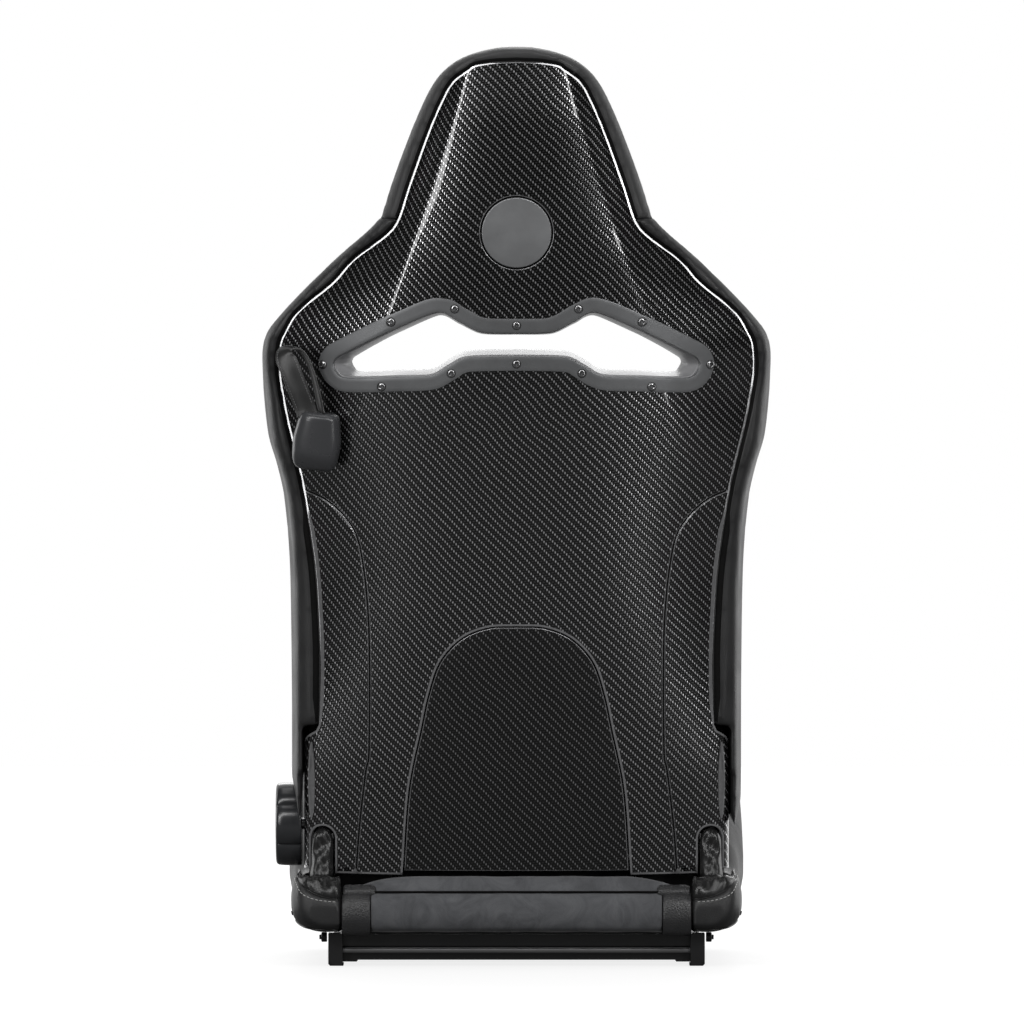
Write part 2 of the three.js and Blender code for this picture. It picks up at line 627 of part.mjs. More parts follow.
// The left bolster ends above the knob.
function leftBolster(right) {
  return cut(mirrorX(right), axle(KNOB_RADIUS + 5, -(KNOB_INNER + KNOB_WIDTH), -(EAR_SIDE + 1), 30));
}

function headPad() {
  const top = SHELL_CROWN + ROLL_OVERLAP;
  const heights = [0, 0.06, 0.2, 0.36, 0.52, 0.66, 0.77, 0.85, 0.905, 0.945, 0.978, 1]
    .map((part) => HEAD_SEAM + PAD_GAP + part * (top - HEAD_SEAM - PAD_GAP));
  const loops = heights.map((w) => {
    const outer = rollHalf(w);
    const covered = w < SHELL_CROWN - 6;
    const half = covered ? shellHalf(w) : Math.max(outer - 18, 6);
    const rim = shellDepth(half, w);
    const front = headFront(w);
    const behind = (x) => (covered ? behindPad(x, w) : shellDepth(x, Math.min(w, SHELL_CROWN - 1)) - 2);
    const edge = half + 1;
    const right = [[edge - 2.2, behind(edge - 2.2) - (covered ? 3 : 0), w], [edge, rim + 0.6, w],
      [edge + 0.3, rim - ROLL_RISE, w], [edge + (outer - edge) * 0.4, rim - ROLL_RISE - 1.5, w],
      [edge + (outer - edge) * 0.85, rim + 2, w], [outer, rim + (front - rim) * 0.35, w],
      [outer - 2, rim + (front - rim) * 0.7, w], [outer * 0.9, front - 3, w], [outer * 0.62, front, w]];
    const rear = [0.66, 0.33].map((s) => [s * edge, behind(s * edge), w]);
    const flip = ([x, v]) => [-x, v, w];
    return [[0, behind(0), w], ...rear.slice().reverse(), ...right, [0, front + 2, w],
      ...right.slice().reverse().map(flip), ...rear.map(flip)];
  });
  const ledgeRoom = upright(discShape(BADGE_RADIUS + FLANGE_REACH + 2), -140,
    shellDepth(0, BADGE_HEIGHT) + LAMINATE + FLANGE_THICK + 4);
  return cut(loft(loops), ledgeRoom, padRoom(LAMINATE + GAP));
}

// ---- hinge plates and recliners -------------------------------------------------------------------
const DISC_INNER = BRACKET_INNER + PLATE_THICK + GAP;
const ARM_INNER = DISC_INNER + DISC_THICK + GAP;
const COVER_INNER = ARM_INNER + ARM_THICK + 2.2;
const boreOf = (radius, from, to) => axle(radius, from - 2, to + 2);

// Rear edge of the hinge plate rests on the stop pin.
function hingePlate() {
  const rest = STOP_FORWARD + STOP_RADIUS + GAP;
  const outline = shapeOf([[-20, -18], [-8, -26], [8, -26], [20, -18], [24, 0], [22, 60], [16, 200],
    [10, 250], [-2, 258], [-20, 255], [-26, 240], [rest, 60], [rest, 36], [-24, 0]]);
  const plate = sideways(outline, HINGE_INNER, HINGE_INNER + PLATE_THICK);
  return cut(plate, boreOf(BUSH_RADIUS + GAP, HINGE_INNER, HINGE_INNER + PLATE_THICK));
}

function reclinerArm() {
  const [v, w] = [STOP_FORWARD, STOP_UP];
  const outline = shapeOf([[0, -30], [18, -25], [29, -8], [29, 10], [22, 34], [-6, 50], [v + 2, w + 9],
    [v - 8, w + 5], [v - 9, w - 8], [-30, 8], [-28, -12], [-16, -26]]);
  const plate = sideways(outline, ARM_INNER, ARM_INNER + ARM_THICK);
  const pin = axle(STOP_RADIUS, HINGE_INNER - 1, ARM_INNER + ARM_THICK - 1, 20).translate(0, v, w);
  return cut(join(plate, pin), boreOf(BUSH_RADIUS + GAP, ARM_INNER, ARM_INNER + ARM_THICK));
}

// The disc keeps clear of the stop pin, which passes outside its rim.
function reclinerDisc() {
  const disc = axle(DISC_RADIUS, DISC_INNER, DISC_INNER + DISC_THICK, 28);
  const step = axle(DISC_RADIUS - 7, DISC_INNER + DISC_THICK - 1.2, DISC_INNER + DISC_THICK + 1, 28);
  const well = cut(step, axle(DISC_RADIUS - 15, DISC_INNER, DISC_INNER + DISC_THICK + 2));
  return cut(disc, well, boreOf(BUSH_RADIUS + GAP, DISC_INNER, DISC_INNER + DISC_THICK));
}

function pivotBush() {
  const from = HINGE_INNER - 3;
  const to = ARM_INNER + ARM_THICK + 1.4;
  const tube = axle(BUSH_RADIUS, from, to);
  const collar = axle(BUSH_RADIUS + 3, from - 2, HINGE_INNER - GAP);
  const cap = axle(BUSH_RADIUS + 2.5, ARM_INNER + ARM_THICK + GAP, to);
  return cut(join(tube, collar, cap), axle(SHAFT_RADIUS + 0.5, from - 5, to + 5));
}

// Moulded shield: round over the recliner, with a foot that goes down into the cushion.
function reclinerCover() {
  const [radius, corner, bevel] = [COVER_RADIUS - 1, 10, 1];
  const foot = -COVER_FOOT;
  const outline = new THREE.Shape();
  outline.moveTo(-10, foot);
  outline.lineTo(COVER_REACH - corner, foot);
  outline.absarc(COVER_REACH - corner, foot + corner, corner, -Math.PI / 2, 0.35, false);
  outline.absarc(0, 0, radius, 0.6, Math.PI * 1.36, false);
  const plate = new THREE.ExtrudeGeometry(outline, { depth: COVER_THICK - 2 * bevel, bevelThickness: bevel,
    bevelSize: bevel, bevelSegments: 1, curveSegments: 7 });
  plate.rotateZ(Math.PI / 2).rotateY(Math.PI / 2).translate(COVER_INNER + bevel, 0, 0);
  return cut(plate, axle(SHAFT_RADIUS + 3, COVER_INNER - 3, COVER_INNER + COVER_THICK + 3));
}

function reclineKnob() {
  const points = [];
  const steps = 48;
  for (let i = 0; i < steps; i += 1) {
    const turn = (i / steps) * 2 * Math.PI;
    const lobe = Math.abs(Math.cos((turn * KNOB_LOBES) / 2)) ** 0.7;
    const radius = KNOB_RADIUS - KNOB_HOLLOW * (1 - lobe);
    points.push([radius * Math.cos(turn), radius * Math.sin(turn)]);
  }
  const inner = -KNOB_INNER - KNOB_WIDTH;
  const body = sideways(shapeOf(points), inner + 2, -KNOB_INNER);
  const face = sideways(shapeOf(points.map(([y, z]) => [y * 0.95, z * 0.95])), inner, inner + 3);
  return cut(join(body, face), axle(SHAFT_RADIUS + GAP, -KNOB_INNER - 14, -KNOB_INNER + 5));
}

function syncShaft() {
  return axle(SHAFT_RADIUS, -KNOB_INNER - 13, ARM_INNER + ARM_THICK + 1);
}

// ---- strap and grip -----------------------------------------------------------------------------
// A rectangle with soft corners, as a ring of points.
function rounded(width, thick, power, count) {
  const soft = (value) => Math.sign(value) * Math.abs(value) ** power;
  return Array.from({ length: count }, (_, i) => (i / count) * 2 * Math.PI)
    .map((turn) => [soft(Math.cos(turn)) * width / 2, soft(Math.sin(turn)) * thick / 2]);
}

function pullGrip() {
  const sections = [[0, 0.62, 0.5], [0.04, 0.76, 0.66], [0.12, 0.86, 0.82], [0.3, 0.94, 0.96],
    [0.55, 1, 1], [0.82, 0.98, 0.98], [0.93, 0.93, 0.88], [0.98, 0.84, 0.7], [1, 0.74, 0.55]];
  return loft(sections.map(([part, across, deep]) =>
    rounded(GRIP_WIDTH * across, GRIP_THICK * deep, 0.55, 20)
      .map(([x, v]) => [x, v, (part - 0.5) * GRIP_LENGTH])));
}

// A flat band along points, each with the direction of its width.
function band(stations, width, thick) {
  const places = stations.map(([x, v, w]) => new THREE.Vector3(x, v, w));
  const loops = places.map((p, i) => {
    const next = places[Math.min(i + 1, places.length - 1)];
    const run = next.clone().sub(places[Math.max(i - 1, 0)]).normalize();
    const turn = stations[i][3];
    const guess = new THREE.Vector3(Math.cos(turn), -Math.sin(turn), 0);
    const normal = run.clone().cross(guess).normalize();
    const across = normal.clone().cross(run).normalize();
    const corner = (a, b) => p.clone().addScaledVector(across, a * width / 2)
      .addScaledVector(normal, b * thick / 2).toArray();
    return [corner(-1, -1), corner(1, -1), corner(1, 1), corner(-1, 1)];
  });
  return loft(loops);
}

// The strap leaves the grip, goes up over the shell's edge and comes back as a loop.
function pullStrap(grip) {
  const top = grip.w + GRIP_LENGTH / 2 + 5;
  const v = grip.v;
  return band([[grip.x - 10, v - 3, top, 0.1], [grip.x - 18, v + 2, top + 20, 0.1],
    [grip.x - 25, v + 8, top + 38, 0.15], [grip.x - 30, v + 15, top + 50, 0.3],
    [grip.x - 26, v + 20, top + 56, 0.8], [grip.x - 15, v + 17, top + 55, 1.2],
    [grip.x - 7, v + 14, top + 44, 1.35], [grip.x - 1, v + 9, top + 26, 1.35],
    [grip.x + 5, v + 4, top, 1.3]], STRAP_WIDTH, STRAP_THICK);
}

// ---- cushion ------------------------------------------------------------------------------------
const Y = (offset) => PIVOT_Y + offset;   // fore and aft places are measured from the pivot
const fromFront = (distance) => CUSHION_LENGTH - distance;
const [rear, nose] = [-REAR_REACH, fromFront(4)];
const insertTop = through([[CUSHION_REAR, 115], [8, 119], [24, 124], [80, 134], [200, 150],
  [fromFront(146), 172], [fromFront(36), 190]]);
const bolsterTop = through([[rear, 66], [rear + 4, 80], [rear + 13, 92], [rear + 28, 98], [40, 99], [60, 106],
  [90, 130], [130, 160], [200, 198], [300, 222], [fromFront(76), 220], [fromFront(36), 208],
  [fromFront(14), 180], [nose, 130]]);
const cushionHalf = through([[rear, CUSHION_HALF - 18], [rear + 4, CUSHION_HALF - 10],
  [rear + 13, CUSHION_HALF - 4], [rear + 28, CUSHION_HALF - 1], [rear + 48, CUSHION_HALF],
  [fromFront(56), CUSHION_HALF], [fromFront(24), CUSHION_HALF - 6], [fromFront(10), CUSHION_HALF - 18],
  [nose, CUSHION_HALF - 35]]);
const bolsterInside = through([[rear, REAR_BAND_HALF], [rear + 42, REAR_BAND_HALF], [rear + 48, 150],
  [rear + 58, INSERT_HALF + 2], [nose, INSERT_HALF + 2]]);

function cushionInsert() {
  const end = fromFront(FRONT_ROLL + 2.5);
  const places = [CUSHION_REAR, -4, 10, 40, 90, 150, 220, 290, fromFront(126), fromFront(76), end - 6, end];
  const loops = places.map((y) => {
    const ends = Math.min(1, (y + 2 - CUSHION_REAR) / 20, (end + 2 - y) / 14);
    const top = insertTop(y) - 10 * (1 - Math.max(0, ends)) ** 2;
    const bottom = PAN_FLOOR + PAN_SHEET + GAP;
    const half = INSERT_HALF;
    const side = [[half - 3, bottom], [half, bottom + 8], [half - 2.5, (top + bottom) / 2],
      [half, top - 16], [half - 5, top - 6], [half - 18, top - 1], [half * 0.5, top + 4]];
    const loop = [...side, [0, top + 6], ...side.slice().reverse().map(([x, z]) => [-x, z])];
    return loop.map(([x, z]) => [x, Y(y), z]);
  });
  return loft(loops);
}

// Inner part of the bolster beside the insert's rear end, as high as the insert.
function cushionCheek() {
  const outline = shapeOf([[CUSHION_REAR, 70], [110, 70], [110, 136], [60, 130], [24, 126], [2, 124],
    [CUSHION_REAR, 118]]);
  return sideways(outline, INSERT_HALF + 3, HINGE_INNER - 3).translate(0, PIVOT_Y, 0);
}

// Room for what swings round the recline axis, from behind the seat to a place ahead of the axis.
function sweepRoom(radius, inner, ahead) {
  const drum = axle(radius, inner, EAR_SIDE + 3.5, 48);
  return common(drum, block(inner, EAR_SIDE + 4, -radius - 1, ahead, -radius - 1, radius + 1))
    .translate(0, PIVOT_Y, PIVOT_Z);
}

function cushionBolster() {
  const places = [rear, rear + 4, rear + 13, rear + 28, rear + 40, rear + 48, rear + 58, 0, 40, 60, 90, 130,
    180, 240, 300, 360, fromFront(66), fromFront(36), fromFront(20), fromFront(10), nose];
  const loops = places.map((y) => {
    const [inner, outer, top] = [bolsterInside(y), cushionHalf(y), bolsterTop(y)];
    const width = outer - inner;
    const ends = Math.max(0, (y - fromFront(36)) / 32);
    const bottom = CUSHION_BOTTOM + 14 * ends + Math.max(0, rear + 14 - y) * 0.4;
    const low = Math.min(top - 4, insertTop(Math.max(y, 24)) - 8);
    const tall = top - bottom;
    const tuck = Math.min(26, width * 0.5);
    const loop = [[inner, bottom + 3], [inner + 5, bottom], [outer - tuck, bottom],
      [outer - tuck * 0.35, bottom + Math.min(7, tall * 0.14)],
      [outer - 1.5, bottom + Math.min(18, tall * 0.36)], [outer, bottom + tall * 0.5],
      [outer - 1, top - tall * 0.25], [outer - width * 0.07, top - tall * 0.1],
      [outer - width * 0.2, top], [outer - width * 0.42, top - tall * 0.02],
      [outer - width * 0.68, top - (top - low) * 0.35], [inner + width * 0.1, low + 2], [inner, low - 4]];
    return loop.map(([x, z]) => [x, Y(y), z]);
  });
  const pad = join(loft(loops), cushionCheek());
  const sweep = join(sweepRoom(SWEEP_RADIUS, 100, CUSHION_REAR - 3), sweepRoom(EAR_SWEEP, EAR_SIDE - 17, 22));
  const wall = block(100, PAN_HALF + 1, Y(-60), Y(500), CUSHION_BOTTOM - 5, PAN_FLOOR + PAN_SHEET + GAP);
  const flange = block(PAN_HALF - PAN_SHEET - 5, PAN_HALF + 1, Y(-60), Y(500), CUSHION_BOTTOM - 5,
    PAN_WALL_TOP + 1);
  const bracketRoom = block(PAN_HALF - 2, BRACKET_INNER + PLATE_THICK + 1, Y(-57), Y(86), 20, 140);
  const coverRoom = block(COVER_INNER - 1, COVER_INNER + COVER_THICK + 1, Y(EAR_FRONT), Y(COVER_REACH + 2),
    PIVOT_Z - COVER_FOOT - 2, 200);
  return cut(pad, sweep, wall, flange, bracketRoom, coverRoom);
}

// A long pad across the cushion, from a (y, z) outline with drawn-in ends.
function crossRoll(outline, half) {
  const middle = outline.reduce((sum, [y, z]) => [sum[0] + y / outline.length, sum[1] + z / outline.length],
    [0, 0]);
  const stations = [[-1, 0.9], [-0.97, 0.97], [-0.82, 1], [-0.4, 1], [0, 1], [0.4, 1], [0.82, 1],
    [0.97, 0.97], [1, 0.9]];
  return loft(stations.map(([s, grow]) => outline.map(([y, z]) =>
    [s * half, Y(middle[0] + (y - middle[0]) * grow), middle[1] + (z - middle[1]) * grow])));
}

function cushionRearRoll() {
  return crossRoll([[-62, CUSHION_BOTTOM], [rear + 14, CUSHION_BOTTOM], [rear + 4, CUSHION_BOTTOM + 7],
    [rear, CUSHION_BOTTOM + 19], [rear + 2, REAR_BAND_TOP - 10], [rear + 10, REAR_BAND_TOP - 1],
    [rear + 16, REAR_BAND_TOP], [rear + 14, APRON_TOP - 4], [rear + 18, APRON_TOP], [-75, APRON_TOP - 1],
    [-72, REAR_BAND_TOP], [-62, REAR_BAND_TOP - 12]], REAR_BAND_HALF - PAD_GAP);
}

function cushionFrontRoll() {
  const front = CUSHION_LENGTH;
  const bottom = CUSHION_BOTTOM;
  const back = front - FRONT_ROLL;
  return crossRoll([[back, bottom + 5], [front - 12, bottom + 8], [front - 3, bottom + 20],
    [front, bottom + 50], [front - 1, bottom + 100], [front - 6, 168], [front - 16, 184], [front - 28, 190],
    [back, 189]], INSERT_HALF + 0.6);
}

function cushionGaiter() {
  const middle = (NOTCH_INNER + NOTCH_OUTER) / 2;
  return loft([[85.5, 2], [88, 0.6], [96, 0], [103, 1], [107, 3]].map(([z, inset]) => {
    const [inner, outer] = [NOTCH_INNER + 1 + inset, NOTCH_OUTER - 1 - inset];
    const [behind, before] = [-64 + inset, -58 - inset / 2];
    const ring = [[inner + 1, behind], [middle, behind - 2], [outer - 1, behind], [outer, -61],
      [outer - 1, before], [middle, before + 1.5], [inner + 1, before], [inner, -61]];
    return ring.map(([x, y]) => [x, Y(y), z]);
  }));
}

// ---- pan, brackets and rails ----------------------------------------------------------------------
function seatPan() {
  const [half, sheet, floor] = [PAN_HALF, PAN_SHEET, PAN_FLOOR];
  const section = [[half, floor + 6], [half, PAN_WALL_TOP], [half - sheet, PAN_WALL_TOP],
    [half - sheet, floor + 7], [half - sheet - 4, floor + sheet]];
  const under = [[-(half - 5), floor], [half - 5, floor], [half - 1, floor + 2]];
  const left = section.slice().reverse().map(([x, z]) => [-x, z]);
  const shape = shapeOf([...under, ...section, ...left, [-(half - 1), floor + 2]]);
  const tray = upright(shape, Y(-52), Y(fromFront(FRONT_ROLL + 2.5)));
  const holes = [100, 210, 320].flatMap((y) => [80, -80].map((x) =>
    new THREE.CylinderGeometry(PAN_HOLE, PAN_HOLE, 30, 18).rotateX(Math.PI / 2).translate(x, Y(y), floor)));
  return cut(tray, ...holes);
}

function seatBracket() {
  const outline = new THREE.Shape();
  const foot = PAN_FLOOR + 4 - PIVOT_Z;
  outline.moveTo(-54, foot);
  outline.lineTo(80, foot);
  outline.lineTo(80, foot + 26);
  outline.lineTo(34, -20);
  outline.absarc(0, 0, DISC_RADIUS + 1.5, -0.5, Math.PI + 0.6, false);
  outline.lineTo(-54, foot + 22);
  const points = outline.getPoints(10).map((p) => [p.x, p.y]);
  const plate = sideways(shapeOf(points), BRACKET_INNER, BRACKET_INNER + PLATE_THICK, 10);
  const hole = boreOf(13, BRACKET_INNER, BRACKET_INNER + PLATE_THICK).translate(0, 34, -76);
  const bore = boreOf(BUSH_RADIUS + GAP, BRACKET_INNER, BRACKET_INNER + PLATE_THICK);
  return cut(plate, hole, bore).translate(0, PIVOT_Y, PIVOT_Z);
}

// Lower rail: a C of sheet with lips turned in at the top.
function lowerRail() {
  const [outer, sheet, bottom, top] = [RAIL_OUTER, RAIL_SHEET, RAIL_BOTTOM, RAIL_TOP];
  const inner = outer - RAIL_WIDTH;
  const lip = 8;
  const edge = outer - lip;
  const half = [[outer - 1, bottom], [outer, bottom + 1], [outer, top - 1], [outer - 1, top], [edge + 1, top],
    [edge, top - 1], [edge, top - 9], [edge + sheet, top - 9], [edge + sheet, top - sheet],
    [outer - sheet, top - sheet], [outer - sheet, bottom + sheet]];
  const other = half.slice().reverse().map(([x, z]) => [outer + inner - x, z]);
  return upright(shapeOf([...half, ...other]), RAIL_REAR, RAIL_REAR + RAIL_LENGTH);
}

// Upper rail: a web through the lower rail's mouth, with feet hooked under the lips.
function upperRail() {
  const middle = RAIL_OUTER - RAIL_WIDTH / 2;
  const under = RAIL_TOP - 12;
  const half = [[middle + 10.8, under - 4.4], [middle + 10.8, RAIL_TOP - 4.2],
    [middle + 9.2, RAIL_TOP - 4.2], [middle + 9.2, under], [middle + 4.6, under],
    [middle + 4.6, SLIDER_TOP - 3], [middle + 13, SLIDER_TOP - 3], [middle + 13, SLIDER_TOP]];
  const other = half.slice().reverse().map(([x, z]) => [2 * middle - x, z]);
  return upright(shapeOf([...half, ...other]), SLIDER_REAR, SLIDER_REAR + SLIDER_LENGTH);
}

// L-shaped foot: upright outside the rail, sole turned in.
function railFoot(from, to) {
  const [outer, sheet] = [FOOT_OUTER, RAIL_SHEET];
  const section = shapeOf([[outer - 2, 0], [outer, 2], [outer, FOOT_HEIGHT], [outer - sheet, FOOT_HEIGHT],
    [outer - sheet, sheet], [outer - FOOT_WIDTH, sheet], [outer - FOOT_WIDTH, 0]]);
  return upright(section, from, to);
}

function rearTieBar() {
  const face = RAIL_REAR - 10;
  const outline = shapeOf([[face + 9, 6], [face + 9, 14], [face + 3, 14], [face, 16], [face, 18.5],
    [face + 3, 20.5], [face + 5, 21], [face + 5, 33.5], [face + 7.5, 33.5], [face + 7.5, 19],
    [face + 9.5, 16.5], [face + 9.9, 15], [face + 9.9, 6]]);
  const half = FOOT_OUTER - RAIL_SHEET - GAP;
  return sideways(outline, -half, half);
}

function frontTieBar() {
  const half = RAIL_OUTER - RAIL_WIDTH - GAP;
  const plate = block(-half, half, TIE_FRONT_Y, TIE_FRONT_Y + 24, RAIL_BOTTOM, RAIL_BOTTOM + 3);
  const rib = block(-half + 20, half - 20, TIE_FRONT_Y + 9, TIE_FRONT_Y + 15, RAIL_BOTTOM + 1,
    RAIL_BOTTOM + 5.5);
  return join(plate, rib);
}

// Release bar: a round bar bent to a U, hung between the upper rails.
function releaseBar() {
  const [end, bend] = [BAR_PIVOT_Y - 8, 22];
  const handle = BAR_PIVOT_Y + BAR_REACH;
  const drop = (y) => BAR_PIVOT_Z - BAR_DROP * Math.max(0, (y - BAR_PIVOT_Y) / BAR_REACH);
  const at = (x, y) => new THREE.Vector3(x, y, drop(y));
  const leg = (side) => [at(side * BAR_HALF, end), at(side * BAR_HALF, handle - bend),
    at(side * BAR_HALF, handle), at(side * (BAR_HALF - bend), handle)];
  const [left, right] = [leg(-1), leg(1)];
  const path = new THREE.CurvePath();
  path.add(new THREE.LineCurve3(left[0], left[1]));
  path.add(new THREE.QuadraticBezierCurve3(left[1], left[2], left[3]));
  path.add(new THREE.LineCurve3(left[3], right[3]));
  path.add(new THREE.QuadraticBezierCurve3(right[3], right[2], right[1]));
  path.add(new THREE.LineCurve3(right[1], right[0]));
  const section = new THREE.Shape();
  section.absarc(0, 0, BAR_RADIUS, 0, 2 * Math.PI, false);
  return new THREE.ExtrudeGeometry(section, { steps: 32, extrudePath: path, curveSegments: 3 });
}

// Latch plate on the bar's end, with teeth beside the lower rail's inner wall.
function latchPlate() {
  const wall = RAIL_OUTER - RAIL_WIDTH;
  const inner = BAR_HALF + BAR_RADIUS + GAP;
  const y = BAR_PIVOT_Y;
  const points = [[inner, y - 26], [wall - 3, y - 26]];
  for (let i = 0; i < 4; i += 1) {
    const at = y - 22 + i * 11;
    points.push([wall - 3, at], [wall - GAP, at + 1], [wall - GAP, at + 5], [wall - 3, at + 6]);
  }
  points.push([wall - 3, y + 26], [inner, y + 26]);
  const plate = new THREE.ExtrudeGeometry(shapeOf(points), { depth: 4, bevelEnabled: false });
  return plate.translate(0, 0, BAR_PIVOT_Z - 2);
}

// ---- assembly -------------------------------------------------------------------------------------
const seat = new THREE.Group();
const back = new THREE.Group();
back.position.set(0, PIVOT_Y, PIVOT_Z);
back.rotation.x = THREE.MathUtils.degToRad(BACK_LEAN);
seat.add(back);

function add(parent, name, geometry, material) {
  const mesh = new THREE.Mesh(geometry, material);
  mesh.name = name;
  parent.add(mesh);
  return mesh;
}

// The same piece on both sides; the left one is the right one mirrored.
function addPair(parent, name, geometry, material) {
  add(parent, `${name}_right`, geometry, material);
  add(parent, `${name}_left`, geometry, material).scale.x = -1;
}

const footRanges = { rear: [RAIL_REAR - 12, RAIL_REAR - 12 + FOOT_LENGTH],
  front: [RAIL_REAR + RAIL_LENGTH - FOOT_LENGTH, RAIL_REAR + RAIL_LENGTH] };
addPair(seat, 'lower_rail', lowerRail(), blackSteel);
addPair(seat, 'rail_foot_rear', railFoot(...footRanges.rear), blackSteel);
addPair(seat, 'rail_foot_front', railFoot(...footRanges.front), blackSteel);
add(seat, 'rear_tie_bar', rearTieBar(), blackSteel);
add(seat, 'front_tie_bar', frontTieBar(), blackSteel);

addPair(seat, 'upper_rail', upperRail(), steel);
add(seat, 'seat_pan', seatPan(), blackSteel);
addPair(seat, 'seat_bracket', seatBracket(), blackSteel);
add(seat, 'cushion_insert', cushionInsert(), suede);
addPair(seat, 'cushion_bolster', cushionBolster(), leather);
add(seat, 'cushion_front_roll', cushionFrontRoll(), leather);
add(seat, 'cushion_rear_roll', cushionRearRoll(), suede);
addPair(seat, 'gaiter', cushionGaiter(), leather);

add(seat, 'release_bar', releaseBar(), blackSteel);
addPair(seat, 'latch_plate', latchPlate(), steel);

const atPivot = (geometry) => geometry.translate(0, PIVOT_Y, PIVOT_Z);
addPair(seat, 'recliner_disc', atPivot(reclinerDisc()), steel);
addPair(seat, 'recliner_cover', atPivot(reclinerCover()), plastic);
addPair(back, 'recliner_arm', reclinerArm(), blackSteel);
addPair(back, 'pivot_bush', pivotBush(), steel);
addPair(back, 'hinge_plate', hingePlate(), blackSteel);
add(seat, 'recline_knob', atPivot(reclineKnob()), plastic);
add(seat, 'sync_shaft', atPivot(syncShaft()), steel);

add(back, 'back_shell', backShell(), carbon);
add(back, 'lumbar_panel', inlay(panelOutline(0, SHELL_BOTTOM)), carbon);
add(back, 'slot_surround', slotSurround(), satinPlate);
add(back, 'slot_liner', slotLiner(), plastic);
add(back, 'badge_disc', inlay(discShape(BADGE_RADIUS)), satinPlate);

let screwCount = 0;
screwPlaces.forEach(([x, w]) => {
  (x > 0 ? [1, -1] : [1]).forEach((side) => {
    screwCount += 1;
    const head = add(back, `surround_screw_${screwCount}`, screw(), screwSteel);
    const slope = (shellDepth(x + 3, w) - shellDepth(x - 3, w)) / 6;
    const rise = (shellDepth(x, w + 3) - shellDepth(x, w - 3)) / 6;
    const outward = new THREE.Vector3(side * slope, -1, rise).normalize();
    head.quaternion.setFromUnitVectors(new THREE.Vector3(0, -1, 0), outward);
    head.position.set(side * x, shellDepth(x, w) - GAP - RING_THICK, w).addScaledVector(outward, GAP);
  });
});

const rightBolster = backBolster();
add(back, 'head_pad', headPad(), leather);
add(back, 'back_bolster_right', rightBolster, leather);
add(back, 'back_bolster_left', leftBolster(rightBolster), leather);
add(back, 'back_insert', backInsert(), suede);
add(back, 'shoulder_pad', shoulderPad(), suede);

const gripDepth = shellDepth(GRIP_SIDE + 14, GRIP_UP) - GRIP_THICK / 2 - 3;
const grip = add(back, 'pull_grip', pullGrip(), plastic);
grip.position.set(GRIP_SIDE, gripDepth, GRIP_UP);
grip.rotation.y = GRIP_TILT;
add(back, 'pull_strap', pullStrap({ x: GRIP_SIDE, v: gripDepth, w: GRIP_UP }), leather);

export default seat;
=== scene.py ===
import math
import bmesh
import bpy
import numpy as np
from mathutils import Matrix, Vector, bvhtree
from mathutils.geometry import delaunay_2d_cdt


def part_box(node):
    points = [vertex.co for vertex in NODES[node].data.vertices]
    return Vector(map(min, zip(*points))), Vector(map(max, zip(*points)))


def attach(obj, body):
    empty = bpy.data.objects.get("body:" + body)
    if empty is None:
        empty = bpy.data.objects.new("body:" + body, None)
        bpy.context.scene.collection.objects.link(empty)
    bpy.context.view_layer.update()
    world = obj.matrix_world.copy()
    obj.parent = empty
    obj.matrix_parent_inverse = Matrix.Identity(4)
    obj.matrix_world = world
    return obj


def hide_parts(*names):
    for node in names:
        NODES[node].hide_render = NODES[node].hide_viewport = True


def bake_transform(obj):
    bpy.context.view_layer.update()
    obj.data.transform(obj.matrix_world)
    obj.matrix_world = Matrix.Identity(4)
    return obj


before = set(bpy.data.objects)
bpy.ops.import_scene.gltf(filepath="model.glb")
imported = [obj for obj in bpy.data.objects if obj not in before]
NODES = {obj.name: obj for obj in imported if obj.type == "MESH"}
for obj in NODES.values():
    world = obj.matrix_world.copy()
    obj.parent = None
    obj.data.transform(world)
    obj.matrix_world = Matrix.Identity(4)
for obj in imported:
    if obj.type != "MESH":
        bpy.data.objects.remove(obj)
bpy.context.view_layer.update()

# ---- Studio ----------------------------------------------------------------------------------
# The seat stands on a pale floor, seen straight from behind. Slim soft boxes stand in an arch round
# the camera, so that only edges and creases mirror them, and the room behind the seat is white.
camera = bpy.data.objects.new("camera", bpy.data.cameras.new("camera"))
bpy.context.scene.collection.objects.link(camera)
bpy.context.scene.camera = camera
camera.data.lens = 390
camera.data.sensor_width = 36
camera.location = (-0.0048, -12, 0.482)
camera.rotation_euler = (math.radians(90), 0, 0)
bpy.context.scene.view_settings.view_transform = "Standard"


def new_material(name):
    """A new material, its node tree and its Principled shader."""
    material = bpy.data.materials.new(name)
    material.use_nodes = True
    tree = material.node_tree
    return material, tree, tree.nodes["Principled BSDF"]


def set_inputs(made, inputs):
    """Links or sets the inputs of a node, each given by its name or number."""
    for socket, given in inputs.items():
        if isinstance(given, bpy.types.NodeSocket):
            made.id_data.links.new(given, made.inputs[socket])
        else:
            made.inputs[socket].default_value = given


def node(tree, kind, inputs={}, **settings):
    made = tree.nodes.new(kind)
    for key, value in settings.items():
        setattr(made, key, value)
    set_inputs(made, inputs)
    return made


def math_node(tree, operation, *values):
    """The result of a Math node on numbers or sockets."""
    return node(tree, "ShaderNodeMath", dict(enumerate(values)), operation=operation).outputs[0]


def ranged(tree, value, low, high, to_low=0.0, to_high=1.0):
    """A value between low and high, carried over to another range and kept inside it."""
    return node(tree, "ShaderNodeMapRange", {0: value, 1: low, 2: high, 3: to_low, 4: to_high}).outputs[0]


def object_place(tree):
    return node(tree, "ShaderNodeTexCoord").outputs["Object"]


